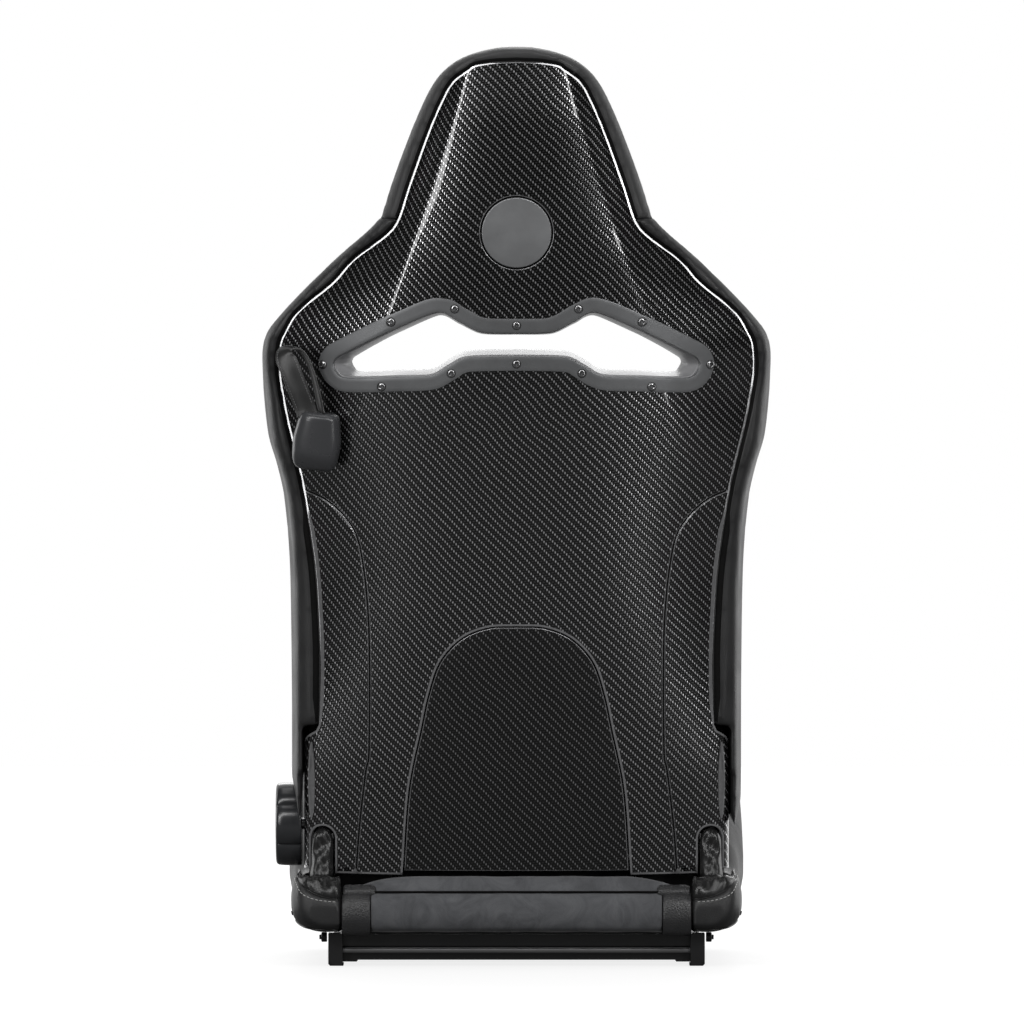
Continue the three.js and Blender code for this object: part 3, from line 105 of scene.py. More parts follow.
def area_light(name, place, aim, width, height, power, roll=0):
    lamp = bpy.data.lights.new(name, "AREA")
    lamp.shape = "RECTANGLE"
    lamp.size, lamp.size_y, lamp.energy = width, height, power
    made = bpy.data.objects.new(name, lamp)
    made.location = place
    towards_aim = (Vector(aim) - Vector(place)).to_track_quat("-Z", "Y").to_matrix()
    made.rotation_euler = (towards_aim @ Matrix.Rotation(math.radians(roll), 3, "Z")).to_euler()
    bpy.context.scene.collection.objects.link(made)


SIDES = ((-1, "left"), (1, "right"))
area_light("box_left", (-1.85, -2.85, 1.2), (0, -0.2, 0.7), 0.55, 1.5, 20)
area_light("box_right", (1.85, -2.85, 1.65), (0, -0.2, 0.7), 0.55, 0.9, 13)
area_light("box_right_low", (1.05, -1.65, 0.3), (0.1, -0.2, 0.7), 0.3, 0.36, 1.4)
for kind, (x, y, z), aim, width, height, power, roll in (
        ("upper", (1.38, -2.85, 2.3), (0, -0.2, 0.8), 0.6, 1.5, 22, 42),
        ("crown", (0.58, -2.85, 2.78), (0, -0.2, 0.9), 0.8, 0.5, 9, 0),
        ("side", (3.0, 1.0, 1.1), (0, -0.1, 0.5), 1.4, 2.2, 30, 0)):
    for side, name in SIDES:
        area_light(f"box_{kind}_{name}", (side * x, y, z), aim, width, height, power, side * roll)
area_light("box_front", (0, 3.0, 1.9), (0, 0, 0.5), 2.2, 1.4, 30)
area_light("box_top", (0, -0.1, 2.9), (0, 0, 0.3), 1.6, 1.6, 12)

world = bpy.data.worlds.new("room")
bpy.context.scene.world = world
world.use_nodes = True
room = world.node_tree
path = node(room, "ShaderNodeLightPath").outputs
direction = node(room, "ShaderNodeSeparateXYZ", {0: node(room, "ShaderNodeTexCoord").outputs["Generated"]})
behind_seat = ranged(room, direction.outputs["Y"], 0.15, 0.6, 0.04)
mirrored_ray = math_node(room, "MAXIMUM", path["Is Glossy Ray"], path["Is Transmission Ray"])
shown = math_node(room, "MAXIMUM", path["Is Camera Ray"],
                  math_node(room, "MULTIPLY", mirrored_ray, behind_seat))
bounced = math_node(room, "MULTIPLY", path["Is Diffuse Ray"], 0.18)
set_inputs(room.nodes["Background"], {
    "Color": (1, 1, 1, 1), "Strength": math_node(room, "MAXIMUM", shown, bounced)})

bpy.ops.mesh.primitive_circle_add(vertices=96, radius=9, fill_type="NGON", location=(0, 0, -0.0005))
floor = bpy.context.object
floor.name = "floor"
material, tree, shader = new_material("floor_pale")
path = node(tree, "ShaderNodeLightPath").outputs
spot = object_place(tree)
away = node(tree, "ShaderNodeVectorMath", {0: spot}, operation="LENGTH").outputs["Value"]
ahead = math_node(tree, "GREATER_THAN", node(tree, "ShaderNodeSeparateXYZ", {0: spot}).outputs["Y"], 0.3)
mirrored_ray = math_node(tree, "MAXIMUM", path["Is Glossy Ray"], path["Is Transmission Ray"])
shown = math_node(tree, "MAXIMUM", path["Is Camera Ray"], math_node(tree, "MULTIPLY", ahead, mirrored_ray))
set_inputs(shader, {
    "Base Color": (0.14, 0.14, 0.14, 1), "Roughness": 0.8, "Emission Color": (1, 1, 1, 1),
    "Emission Strength": math_node(tree, "MULTIPLY", ranged(tree, away, 0.7, 1.6, 0.83), shown)})
floor.data.materials.append(material)

# ---- Back shell ------------------------------------------------------------------------------
# One moulding of twill carbon laminate, about 3 mm thick, under a gloss clear coat. Its edge is
# trimmed and rounded, and it turns forward into an ear at each lower corner.
PIVOT = (-146.0, 149.0)
LEAN = math.radians(10)
EAR_SIDE, EAR_CORNER = 226, 13
BEND_AT = EAR_SIDE - EAR_CORNER
LAMINATE = 3.2


def curve(pairs):
    """A smooth curve through [position, value] pairs that never overshoots, flat beyond its ends."""
    at, value = np.array(pairs, float).T
    step = np.diff(at)
    secant = np.diff(value) / step
    same_way = secant[:-1] * secant[1:] > 0
    total = np.where(same_way, secant[:-1] + secant[1:], 1)
    inner = np.where(same_way, 2 * secant[:-1] * secant[1:] / total, 0)
    slope = np.concatenate([secant[:1], inner, secant[-1:]])

    def read(position):
        place = np.clip(np.asarray(position, float), at[0], at[-1])
        i = np.clip(np.searchsorted(at, place, side="right") - 1, 0, len(step) - 1)
        t = (place - at[i]) / step[i]
        rise = value[i] * (2 * t**3 - 3 * t**2 + 1) + value[i + 1] * (3 * t**2 - 2 * t**3)
        return rise + step[i] * (slope[i] * (t**3 - 2 * t**2 + t) + slope[i + 1] * (t**3 - t**2))
    return read


back_depth = curve([[-45, -74], [100, -80], [250, -84], [420, -80], [530, -74], [650, -64],
                    [760, -52], [830, -36]])
side_depth = curve([[-41, 16], [60, 20], [120, 28], [200, 42], [300, 54], [420, 56], [530, 44],
                    [575, 34], [650, 22], [760, 16], [830, 10]])
side_reach = curve([[-41, 212], [97, 210], [185, 209], [261, 212], [365, 226], [462, 248],
                    [516, 253], [553, 237], [610, 186], [653, 138], [690, 116], [760, 96], [830, 84]])
crease_at = curve([[380, 205], [413, 190], [470, 160], [520, 147], [575, 130], [690, 92],
                   [803, 56], [840, 46]])
flank_slope = curve([[400, 0], [470, 0.14], [530, 0.16], [575, 0.3], [620, 0.5], [760, 0.62],
                     [830, 0.55]])
shell_half = curve([[-41, 212], [60, 211], [97, 210], [185, 209], [261, 212], [365, 226],
                    [462, 248], [500, 253], [522, 251], [540, 243], [553, 235], [592, 191],
                    [610, 176], [653, 128], [690, 115], [759, 90], [784, 79], [804, 68], [821, 46]])
roll_half = curve([[0, 233], [40, 235], [120, 235], [197, 235.6], [274, 237], [352, 243], [390, 251],
                   [418, 259.5], [456, 265], [510, 270], [530, 266], [546, 255], [580, 225],
                   [624, 180], [650, 152], [658, 145], [690, 134], [726, 121], [775, 101],
                   [800, 88], [812, 79], [825, 63], [834, 42], [840, 14]])
SHELL_CROWN = 827
WING = np.array([[222, 366], [205, 360], [189, 349], [175, 333], [168, 318], [164, 300], [159, 262],
                 [156, 204], [156.5, 94], [160, 70], [167, 9], [172, -60]], float)


def place(x, v, w):
    """World point in metres of a point of the back: x across, v forward and w up from the pivot."""
    x, v, w = np.broadcast_arrays(np.asarray(x, float), v, w)
    return np.stack([x, PIVOT[0] + v * math.cos(LEAN) - w * math.sin(LEAN),
                     PIVOT[1] + v * math.sin(LEAN) + w * math.cos(LEAN)], -1) / 1000


def placed(points):
    """World points of points (x, v, w) of the back that stand in any rows."""
    return place(*np.moveaxis(np.asarray(points), -1, 0))


def unit(vectors):
    return vectors / np.linalg.norm(vectors, axis=-1, keepdims=True)


def smooth_line(points, count):
    """Evenly spaced points on a Catmull-Rom curve through the given ones."""
    points = np.array(points, float)
    padded = np.vstack([2 * points[0] - points[1], points, 2 * points[-1] - points[-2]])
    fine = []
    for a, b, c, d in zip(padded, padded[1:], padded[2:], padded[3:]):
        t = np.linspace(0, 1, 24, endpoint=False)[:, None]
        fine.append(0.5 * (2 * b + (c - a) * t + (2 * a - 5 * b + 4 * c - d) * t**2
                           + (3 * b - a - 3 * c + d) * t**3))
    fine = np.vstack(fine + [points[-1:]])
    run = np.concatenate([[0], np.cumsum(np.linalg.norm(np.diff(fine, axis=0), axis=1))])
    at = np.linspace(0, run[-1], count)
    return np.stack([np.interp(at, run, fine[:, k]) for k in range(fine.shape[1])], -1)


def distance_to(line, points):
    """Distance of each 2-D point from a line of points."""
    best = np.full(len(points), 1e9)
    for a, b in zip(line, line[1:]):
        run = b - a
        t = np.clip(((points - a) @ run) / max(run @ run, 1e-12), 0, 1)
        best = np.minimum(best, np.linalg.norm(points - a - t[:, None] * run, axis=1))
    return best


wing_line = smooth_line(WING, 90)


def shell_depth(x, w):
    """Outer face of the shell, seen from behind, with its creases rounded."""
    x, w = np.broadcast_arrays(np.asarray(x, float), np.asarray(w, float))
    reach = np.abs(x)
    past = reach - crease_at(w)
    flank = (past + np.sqrt(past**2 + 11)) / 2 * flank_slope(w)
    return back_depth(w) + side_depth(w) * (reach / side_reach(w)) ** 2.6 + flank


def groove_depth(x, w):
    """How deep the wing groove is pressed into the face."""
    points = np.stack([np.abs(x).ravel(), w.ravel()], -1)
    far = distance_to(wing_line, points).reshape(x.shape)
    return 1.5 * np.clip(1.8 - far, 0, 0.9) / 0.9


LENS_AT, LENS_HALF = np.array([219.0, 58.0]), np.array([4.6, 41.0])


def lens_depth(p, w):
    """The long shallow recess pressed into each ear's bend."""
    far = np.hypot((np.abs(p) - LENS_AT[0]) / LENS_HALF[0], (w - LENS_AT[1]) / LENS_HALF[1])
    return 1.3 * np.clip((1.22 - far) / 0.44, 0, 1)


def ear_bend(w):
    """Slope of the face where the ear's bend starts, and the radius of the bend."""
    tilt = np.arctan(shell_depth(BEND_AT, w) - shell_depth(BEND_AT - 1, w))
    return tilt, EAR_CORNER / (1 - np.sin(tilt))


def shell_face(p, w):
    """Point of the outer face at a distance p from the middle, measured round the ear's bend."""
    p, w = np.broadcast_arrays(np.asarray(p, float), np.asarray(w, float))
    reach = np.abs(p)
    low = w < 140
    base = np.where(low, np.minimum(reach, BEND_AT), reach)
    v = shell_depth(base, w)
    tilt, radius = ear_bend(w)
    over = np.where(low, np.maximum(reach - BEND_AT, 0), 0)
    arc = radius * (math.pi / 2 - tilt)
    angle = tilt + np.minimum(over / radius, math.pi / 2 - tilt)
    x = base + radius * (np.sin(angle) - np.sin(tilt))
    v = v + radius * (np.cos(tilt) - np.cos(angle)) + np.maximum(over - arc, 0)
    v = v + np.where(over > 0, 0, groove_depth(base, w))
    dent = np.where(low, lens_depth(p, w), 0)
    x = x - dent * np.sin(angle) * (over > 0)
    v = v + dent * np.cos(angle)
    return np.stack([np.sign(p) * x, v, w], -1)


def facing(p, w, step=0.35):
    """Unit normals of the outer face, pointing out of the back."""
    across = shell_face(p + step, w) - shell_face(p - step, w)
    along = shell_face(p, w + step) - shell_face(p, w - step)
    return unit(np.cross(across, along))


def inside(loop, points):
    """True for each 2-D point inside a closed loop."""
    x, y = points.T
    hit = np.zeros(len(points), bool)
    for (x0, y0), (x1, y1) in zip(loop, np.roll(loop, -1, axis=0)):
        crosses = (y0 > y) != (y1 > y)
        if y0 != y1:
            hit ^= crosses & (x < (x1 - x0) * (y - y0) / (y1 - y0) + x0)
    return hit


def offset_loop(loop, amount):
    """A counter-clockwise loop moved outward, and its outward directions."""
    run = unit(np.roll(loop, -1, axis=0) - np.roll(loop, 1, axis=0))
    out = np.stack([run[:, 1], -run[:, 0]], -1)
    return loop + out * amount, out


def counter(loop):
    """A closed loop, counter-clockwise."""
    loop = np.asarray(loop, float)
    x, y = loop.T
    turns = np.sum(x * np.roll(y, -1) - np.roll(x, -1) * y)
    return loop if turns > 0 else loop[::-1]


def closed(loop):
    return np.vstack([loop, loop[:1]])


def columns(*values):
    """Rows of values, each given as an array or as one number for all the rows."""
    return np.column_stack(np.broadcast_arrays(*values))


def dense(line, step):
    """A line with extra points, so that none are further apart than the step."""
    made = []
    for a, b in zip(line, line[1:]):
        count = max(1, int(np.ceil(np.linalg.norm(b - a) / step)))
        made += [a + (b - a) * k / count for k in range(count)]
    return np.array(made + [line[-1]])


def object_from(name, points, faces, material, normals=None, smooth=True):
    """A mesh object in the row frame; points in metres, one normal for each point where given."""
    mesh = bpy.data.meshes.new(name)
    mesh.from_pydata([tuple(p) for p in points], [], [tuple(int(i) for i in f) for f in faces])
    mesh.update()
    if smooth:
        mesh.polygons.foreach_set("use_smooth", [True] * len(mesh.polygons))
    if normals is not None:
        mesh.normals_split_custom_set_from_vertices([tuple(n) for n in normals])
    made = bpy.data.objects.new(name, mesh)
    bpy.context.scene.collection.objects.link(made)
    made.data.materials.append(material)
    return made


def to_back(directions):
    """Directions of the back, turned into the world."""
    x, v, w = np.moveaxis(np.asarray(directions, float), -1, 0)
    return np.stack([x, v * math.cos(LEAN) - w * math.sin(LEAN),
                     v * math.sin(LEAN) + w * math.cos(LEAN)], -1)


ROUND_EDGE = [(math.sin(math.radians(a)), 1 - math.cos(math.radians(a)), a) for a in (12, 25, 40, 55, 72, 90)]
BEAD_EDGE = [(0.03, 0.0, 0), (0.45, 0.0, 0), (0.84, 0.0, 0), (0.94, 0.06, 40), (1.0, 0.2, 90)]
BEAD_WIDTH, BEAD_MORE = 2.3, 2.6

REARWARD = np.array([0, -math.cos(LEAN), math.sin(LEAN)])
UPRIGHT = np.array([0, math.sin(LEAN), math.cos(LEAN)])


def bead_facing(out):
    """Normals of the flat bead on the shell's edge: rearward, tipped a little outward and up."""
    tip = 0.31 * out[:, 1] + 0.15 * (1 - np.clip(out[:, 1], 0, 1))
    return unit(REARWARD + np.outer(0.31 * out[:, 0], [1, 0, 0]) + np.outer(tip, UPRIGHT))


def bead_share(points):
    """How much broader the flat bead is: 1 up the lower flanks of the shell, and 0 elsewhere."""
    reach, w = np.abs(points[:, 0]), points[:, 1]
    return (np.clip((w - 122) / 26, 0, 1) * np.clip((344 - w) / 20, 0, 1) * (reach > 150))[:, None]


def laminate(name, outline, holes, material, thick, lift=0.0, grid=6.5, rim=0.9, lines=(), beaded=False,
             edge_highlight_paint=None, patches=()):
    """A sheet that follows the outer face, with a flat bead or a rounded edge round it and its holes."""
    loops = [(counter(outline), 1)] + [(counter(hole), -1) for hole in holes]
    flat, edges, rims = [], [], []
    for loop, sign in loops:
        bead = beaded and sign > 0
        broad = bead_share(loop) if bead else 0
        reach = BEAD_WIDTH + BEAD_MORE * broad if bead else rim
        pulled, out = offset_loop(loop, -reach * sign)
        start = len(flat)
        flat += list(pulled)
        edges += [(start + k, start + (k + 1) % len(loop)) for k in range(len(loop))]
        rims.append((start, len(loop), out * sign, reach, broad, bead))
    for line in lines:
        start = len(flat)
        flat += list(line)
        edges += [(start + k, start + k + 1) for k in range(len(line) - 1)]
    taken = np.array(flat)
    low, high = taken.min(0), taken.max(0)
    columns = np.arange(low[0], high[0], grid)
    rows = np.arange(low[1], high[1], grid * 0.9)
    lattice = np.array([(x + (k % 2) * grid / 2, y) for k, y in enumerate(rows) for x in columns])
    clear = inside(loops[0][0], lattice)
    for loop, _ in loops[1:]:
        clear &= ~inside(loop, lattice)
    for line in [closed(taken[start:start + size]) for start, size, *_ in rims] + list(lines):
        clear &= distance_to(line, lattice) > grid * 0.45
    flat += list(lattice[clear])
    found = delaunay_2d_cdt([Vector(p) for p in flat], edges, [], 0, 1e-5)
    points = np.array([tuple(p) for p in found[0]])
    faces = np.array([tuple(f) for f in found[2]])
    middle = points[faces].mean(1)
    keep = inside(taken[:rims[0][1]], middle)
    for start, size, *_ in rims[1:]:
        keep &= ~inside(taken[start:start + size], middle)
    faces = faces[keep]
    a, b, c = np.moveaxis(points[faces], 1, 0)
    turned = np.cross(b - a, c - a) < 0
    faces[turned] = faces[turned][:, ::-1]
    source = {origin: index for index, origins in enumerate(found[3]) for origin in origins}
    p, w = points.T
    normal = facing(p, w)
    base = shell_face(p, w) + normal * lift
    far = shell_face(p, w) - normal * (thick - lift)
    verts, normals, flat_at = [base, far], [normal, -normal], [points, points]
    count = len(points)
    total = 2 * count
    strips = []
    for start, size, out, reach, broad, bead in rims:
        ring = np.array([source[start + k] for k in range(size)])
        at = points[ring]
        profile = BEAD_EDGE if bead else ROUND_EDGE
        flat_at += [at] * (len(profile) + 1)
        plain = step = facing(*at.T)
        if bead:
            up_flank = np.clip((at[:, 1:] - 150) / 60, 0, 1)
            step = unit(bead_facing(out) * up_flank + step * (1 - up_flank))
        ahead = shell_face(*(at + out * 0.5).T) - shell_face(*at.T)
        ahead = unit(ahead - np.sum(ahead * step, -1, keepdims=True) * step)
        layers = [ring]
        for across, down, angle in profile:
            turn = math.radians(angle)
            verts.append(base[ring] + (ahead * across - step * down) * reach)
            own = step + (plain - step) * broad * (across < 0.6)
            normals.append(ahead * math.sin(turn) + own * math.cos(turn))
            layers.append(total + np.arange(size))
            total += size
        verts.append(far[ring] + ahead * reach + step * 0.25)
        normals.append(ahead)
        layers += [total + np.arange(size), ring + count]
        total += size
        for a, b in zip(layers, layers[1:]):
            strip = np.stack([a, np.roll(a, -1), np.roll(b, -1), b], -1)
            strips.append(strip[:, ::-1] if start == 0 else strip)
    quads = np.vstack(strips)
    made = object_from(name, placed(np.vstack(verts)), [*faces, *(faces[:, ::-1] + count), *quads], material,
                       to_back(np.vstack(normals)))
    # The rim strips take the pale edge material, a painted highlight; the patches paint light or shade on
    # parts of the face.
    if edge_highlight_paint:
        made.data.materials.append(edge_highlight_paint)
        kinds = np.zeros(len(faces), int)
        for finish, chosen in patches:
            if finish.name not in made.data.materials:
                made.data.materials.append(finish)
            kinds[chosen(points[faces].mean(1))] = made.data.materials.find(finish.name)
        kinds = np.concatenate([kinds, kinds, np.ones(len(quads), int)])
        made.data.polygons.foreach_set("material_index", kinds)
    on_cloth = cloth_place(np.vstack(flat_at))
    cloth = made.data.attributes.new("cloth", "FLOAT_VECTOR", "POINT")
    cloth.data.foreach_set("vector", np.pad(on_cloth, ((0, 0), (0, 1))).astype(np.float32).ravel())
    return made


def cloth_place(points):
    """Where a point of the face lies on the unrolled cloth, in millimetres."""
    p, w = points.T
    steps = np.linspace(0, 1, 25)[:, None]
    path = shell_face(steps * p, np.broadcast_to(w, (25, len(w))))
    run = np.linalg.norm(np.diff(path[..., :2], axis=0), axis=-1).sum(0)
    return np.stack([np.sign(p) * run, w + back_depth(w) * 0.1], -1)


def noise(tree, spot, scale, detail, **more):
    """Noise from 0 to 1; more sets the inputs of the same names."""
    made = node(tree, "ShaderNodeTexNoise", {"Vector": spot, "Scale": scale, "Detail": detail, **more})
    return made.outputs["Fac"]


def between(tree, factor, dark, light):
    """A colour between two tones."""
    tones = {0: factor, 6: (*dark, 1), 7: (*light, 1)}
    return node(tree, "ShaderNodeMix", tones, data_type="RGBA").outputs[2]


def bumps(tree, height, strength, distance):
    """The normal of a surface with small bumps."""
    made = node(tree, "ShaderNodeBump", {"Height": height, "Strength": strength, "Distance": distance})
    return made.outputs[0]


def shader_group(name, inputs, outputs):
    """A new node group, the sockets that feed it, and its output node."""
    group = bpy.data.node_groups.new(name, "ShaderNodeTree")
    for way, sockets in (("INPUT", inputs), ("OUTPUT", outputs)):
        for socket, kind in sockets.items():
            group.interface.new_socket(name=socket, in_out=way, socket_type=f"NodeSocket{kind}")
    return group, node(group, "NodeGroupInput").outputs, node(group, "NodeGroupOutput")


def weave_group():
    """2x2 twill: height of the tows, which tow is on top, and a slow unevenness of the cloth."""
    group, start, end = shader_group("twill", {"Cloth": "Vector", "Tow": "Float"},
                                     {"Height": "Float", "Warp": "Float", "Shade": "Float"})

    def calc(operation, *values):
        return math_node(group, operation, *values)
    wander = node(group, "ShaderNodeTexNoise", {"Vector": start["Cloth"], "Scale": 0.018, "Detail": 1.0})
    drift = node(group, "ShaderNodeVectorMath", {0: wander.outputs["Color"], "Scale": 5.0}, operation="SCALE")
    moved = node(group, "ShaderNodeVectorMath", {0: start["Cloth"], 1: drift.outputs[0]}, operation="ADD")
    split = node(group, "ShaderNodeSeparateXYZ", {0: moved.outputs[0]}).outputs
    u = calc("DIVIDE", split["X"], start["Tow"])
    v = calc("DIVIDE", split["Y"], start["Tow"])

    i, j = calc("FLOOR", u), calc("FLOOR", v)
    fu, fv = calc("SUBTRACT", u, i), calc("SUBTRACT", v, j)
    phase = calc("FLOORED_MODULO", calc("ADD", i, j), 4.0)
    warp = calc("LESS_THAN", phase, 1.5)

    def tow(across, along):
        """Height of a tow, round across and arched where it floats over two others."""
        belly = calc("SUBTRACT", 1.0, calc("POWER", calc("ABSOLUTE", calc(
            "SUBTRACT", calc("MULTIPLY", across, 2.0), 1.0)), 2.2))
        arched = calc("SINE", calc("MULTIPLY", along, math.pi))
        return calc("MULTIPLY", calc("MAXIMUM", belly, 0.0), calc("POWER", calc("MAXIMUM", arched, 0.0), 0.8))
    up = tow(fu, calc("DIVIDE", calc("ADD", phase, fv), 2.0))
    flat = tow(fv, calc("DIVIDE", calc("ADD", calc("SUBTRACT", phase, 2.0), fu), 2.0))
    height = calc("ADD", calc("MULTIPLY", up, warp), calc("MULTIPLY", flat, calc("SUBTRACT", 1.0, warp)))
    set_inputs(end, {"Height": height, "Warp": warp, "Shade": noise(group, start["Cloth"], 0.35, 2.0)})
    return group


twill = weave_group()


def carbon_material(name, tow, warp_glint, weft_glint):
    """Twill carbon under a gloss clear coat, whose base colour is a painted glint on the tows."""
    material, tree, shader = new_material(name)
    cloth = node(tree, "ShaderNodeAttribute", attribute_name="cloth").outputs["Vector"]
    weave = node(tree, "ShaderNodeGroup", {"Cloth": cloth, "Tow": tow}, node_tree=twill).outputs
    # Painted highlight: warp tows paler than weft, for the side lamps' glint along the upright fibres, and
    # each tow bright only on its crown.
    tone = between(tree, weave["Warp"], (weft_glint,) * 3, (warp_glint, warp_glint, warp_glint * 1.02))
    tow_glint = math_node(tree, "MULTIPLY", math_node(tree, "POWER", weave["Height"], 4.2),
                    math_node(tree, "ADD", weave["Shade"], 0.5))
    glint_colour = node(tree, "ShaderNodeVectorMath", {0: tone, "Scale": ranged(tree, tow_glint, 0.0, 1.0, 0.01)},
                  operation="SCALE")
    set_inputs(shader, {
        "Base Color": glint_colour.outputs[0], "Normal": bumps(tree, weave["Height"], 0.8, 0.00022),
        "Metallic": 0.85, "Roughness": 0.24, "Coat Weight": 1.0, "Coat Roughness": 0.03})
    return material


def speckled_material(name, scale, detail, dark, light, settings):
    """A material whose tone varies a little from speck to speck."""
    material, tree, shader = new_material(name)
    speck = noise(tree, object_place(tree), scale, detail)
    set_inputs(shader, {"Base Color": between(tree, speck, dark, light), **settings})
    return material


carbon = carbon_material("carbon_twill", 2.38, 1.0, 0.12)
# The lower panel's copy has half the tones, so its painted glints are dimmer.
panel_carbon = carbon_material("carbon_twill_low", 2.38, 0.5, 0.06)
# Pale grey on the shell's rounded edges, the sides of the wing groove, the ear recesses and the lower panel's
# edge: a painted highlight where these edges catch the lamps.
edge_painted_highlight = speckled_material("edge_painted_highlight", 260.0, 2.0, (0.16, 0.16, 0.165), (0.27, 0.27, 0.275), {
    "Metallic": 0.45, "Roughness": 0.16, "Coat Weight": 1.0})
# Near-black with little specular: painted shadow in the wing groove, on the badge pocket's floor, in the line
# between apron and band and in the strip round the shell's edge.
painted_shadow_black = speckled_material("painted_shadow_black", 400.0, 3.0, (0.002,) * 3, (0.006,) * 3, {
    "Roughness": 0.7, "Specular IOR Level": 0.1})

slot_half = [[0, 542.7], [37, 544], [60, 555], [83, 564.7], [130, 545], [176, 520], [189, 512],
             [192.5, 504], [188, 495.5], [178, 491.5], [130, 494.5], [90, 497], [70, 508],
             [52, 516.3], [0, 517.7]]


def mirror_loop(half):
    half = np.array(half, float)
    other = half[::-1] * [-1, 1]
    return np.vstack([half, other[np.abs(other[:, 0]) > 1e-6]])


def closed_smooth(points, tension=0.4, steps=10):
    """Catmull-Rom curve round a closed loop, with the tension that the slot's outline has."""
    made = []
    count = len(points)
    for k in range(count):
        a, b, c, d = (points[(k + q) % count] for q in (-1, 0, 1, 2))
        m0, m1 = tension * (c - a), tension * (d - b)
        t = np.linspace(0, 1, steps, endpoint=False)[:, None]
        made.append(b * (2 * t**3 - 3 * t**2 + 1) + c * (3 * t**2 - 2 * t**3)
                    + m0 * (t**3 - 2 * t**2 + t) + m1 * (t**3 - t**2))
    return np.vstack(made)


slot_loop = counter(closed_smooth(mirror_loop(slot_half)))
PANEL_HALF = smooth_line([[119.6, -41], [113, 51], [100, 117], [92, 155], [80, 190], [58, 215],
                          [30, 227], [0, 228.6]], 70)


def ear_reach(v, w):
    """Distance round the bend at which the ear is at depth v."""
    tilt, radius = ear_bend(w)
    start = shell_depth(BEND_AT, w) + radius * np.cos(tilt)
    return float(BEND_AT + radius * (math.pi / 2 - tilt) + (v - start))


def shell_outline():
    """The shell's outline, down over its ears and up round the arch that the lower panel fills."""
    half = [[121.2, -41], [192.8, -41], [193, -38], [193, -3]]
    half += [[206 - 13 * math.cos(math.radians(a)), -3 + 13 * math.sin(math.radians(a))]
             for a in range(15, 180, 15)]
    half += [[219.6, -3], [219.6, -37]]
    half += [[ear_reach(v, w), w] for v, w in ((-28, -41), (-24, -41), (-17, -37), (-15, -29), (-15, 0),
                                               (-15, 38), (-17, 54), (-22, 70), (-34, 92), (-47, 105))]
    half += [[213, 112], [210.2, 118]]
    half += [[float(shell_half(w)), w] for w in [*np.arange(130, 520, 12), *np.arange(522, 740, 6)]]
    crown = [[float(shell_half(w)), w] for w in (742, 759, 774, 788, 800, 810, 817.5)]
    half += smooth_line(crown + [[44, 822.2], [25, 825.7], [0, SHELL_CROWN]], 34).tolist()
    panel = offset_loop(counter(mirror_loop(PANEL_HALF)), 1.6)[0]
    arch = panel[panel[:, 1] > -38]
    arch = arch[np.argsort(-np.arctan2(arch[:, 1] + 45, arch[:, 0]))]
    right = dense(np.array(half), 6)
    left = right[::-1] * [-1, 1]
    return np.vstack([right, left[1:], [[-121.2, -41]], arch, [[121.2, -41]]])


def add_runs(line, clear, least):
    """Lays mesh edges along the clear runs of a line that are long enough, on both halves."""
    cuts = np.where(~clear)[0]
    for run, good in zip(np.split(line, cuts), np.split(clear, cuts)):
        if good.sum() > least:
            fold_lines.extend([run[good], run[good] * [-1, 1]])


def circle(count):
    """Angles evenly spaced round a circle."""
    return np.linspace(0, 2 * math.pi, count, endpoint=False)


BADGE = (0, 648)
disc_loop = np.array([[math.cos(a), math.sin(a)] for a in circle(96)])
outline, slot_hole = shell_outline(), offset_loop(slot_loop, 4.5)[0]
fold_lines = []
run = unit(np.gradient(wing_line, axis=0))
for across in (-2.3, -1.8, -1.35, -0.9, 0, 0.9, 1.35, 1.8, 2.3):
    line = wing_line + np.stack([run[:, 1], -run[:, 0]], -1) * across
    line = line[(line[:, 1] > -36) & (line[:, 0] < shell_half(line[:, 1]) - 2.5)]
    fold_lines += [line, line * [-1, 1]]
w_at = np.arange(395, 820, 5.0)
for across in (-8, -5, -3, -1.5, 0, 1.5, 3, 5, 8):
    line = columns(crease_at(w_at) + across, w_at)
    clear = inside(outline, line) & ~inside(slot_hole, line) & (distance_to(closed(outline), line) > 3.5)
    add_runs(line, clear & (distance_to(closed(slot_hole), line) > 3.5), 3)
w_at = np.arange(-36, 112, 5.0)
for around in np.arange(213, 236, 2.3):
    line = columns(around, w_at)
    add_runs(line, inside(outline, line) & (distance_to(closed(outline), line) > 3.2), 2)
for size in (0.7, 0.88, 1.0, 1.12, 1.3):
    lens = closed(LENS_AT + disc_loop[::2] * LENS_HALF * size)
    fold_lines += [lens, lens * [-1, 1]]
lens_loop = LENS_AT + disc_loop[::2] * LENS_HALF * 1.02


def folded(flat):
    """Points of both halves, laid on the right one."""
    return np.abs(flat) * [1, 0] + flat * [0, 1]


def from_wing(flat):
    return distance_to(wing_line, folded(flat))


def dress(piece, body, slot, *nodes, fill=None):
    """Puts a piece on a body and hides the nodes that it replaces; the slot is not used, and fill, how full
    it is, is not used.
    """
    if nodes:
        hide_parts(*nodes)
    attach(piece, body)


shell = laminate("shell_carbon", outline, [slot_hole, disc_loop * 38.5 + BADGE], carbon, LAMINATE,
                 lines=fold_lines, beaded=True, edge_highlight_paint=edge_painted_highlight, patches=[
                     # The ear recesses and the sides of the wing groove take the painted highlight.
                     (edge_painted_highlight, lambda flat: inside(lens_loop, folded(flat))),
                     (edge_painted_highlight, lambda flat: np.abs(from_wing(flat) - 1.35) < 0.46),
                     # The middle of the wing groove is painted shadow.
                     (painted_shadow_black, lambda flat: from_wing(flat) < 0.89)])
dress(shell, "backrest", "carbon_fibre", "back_shell")

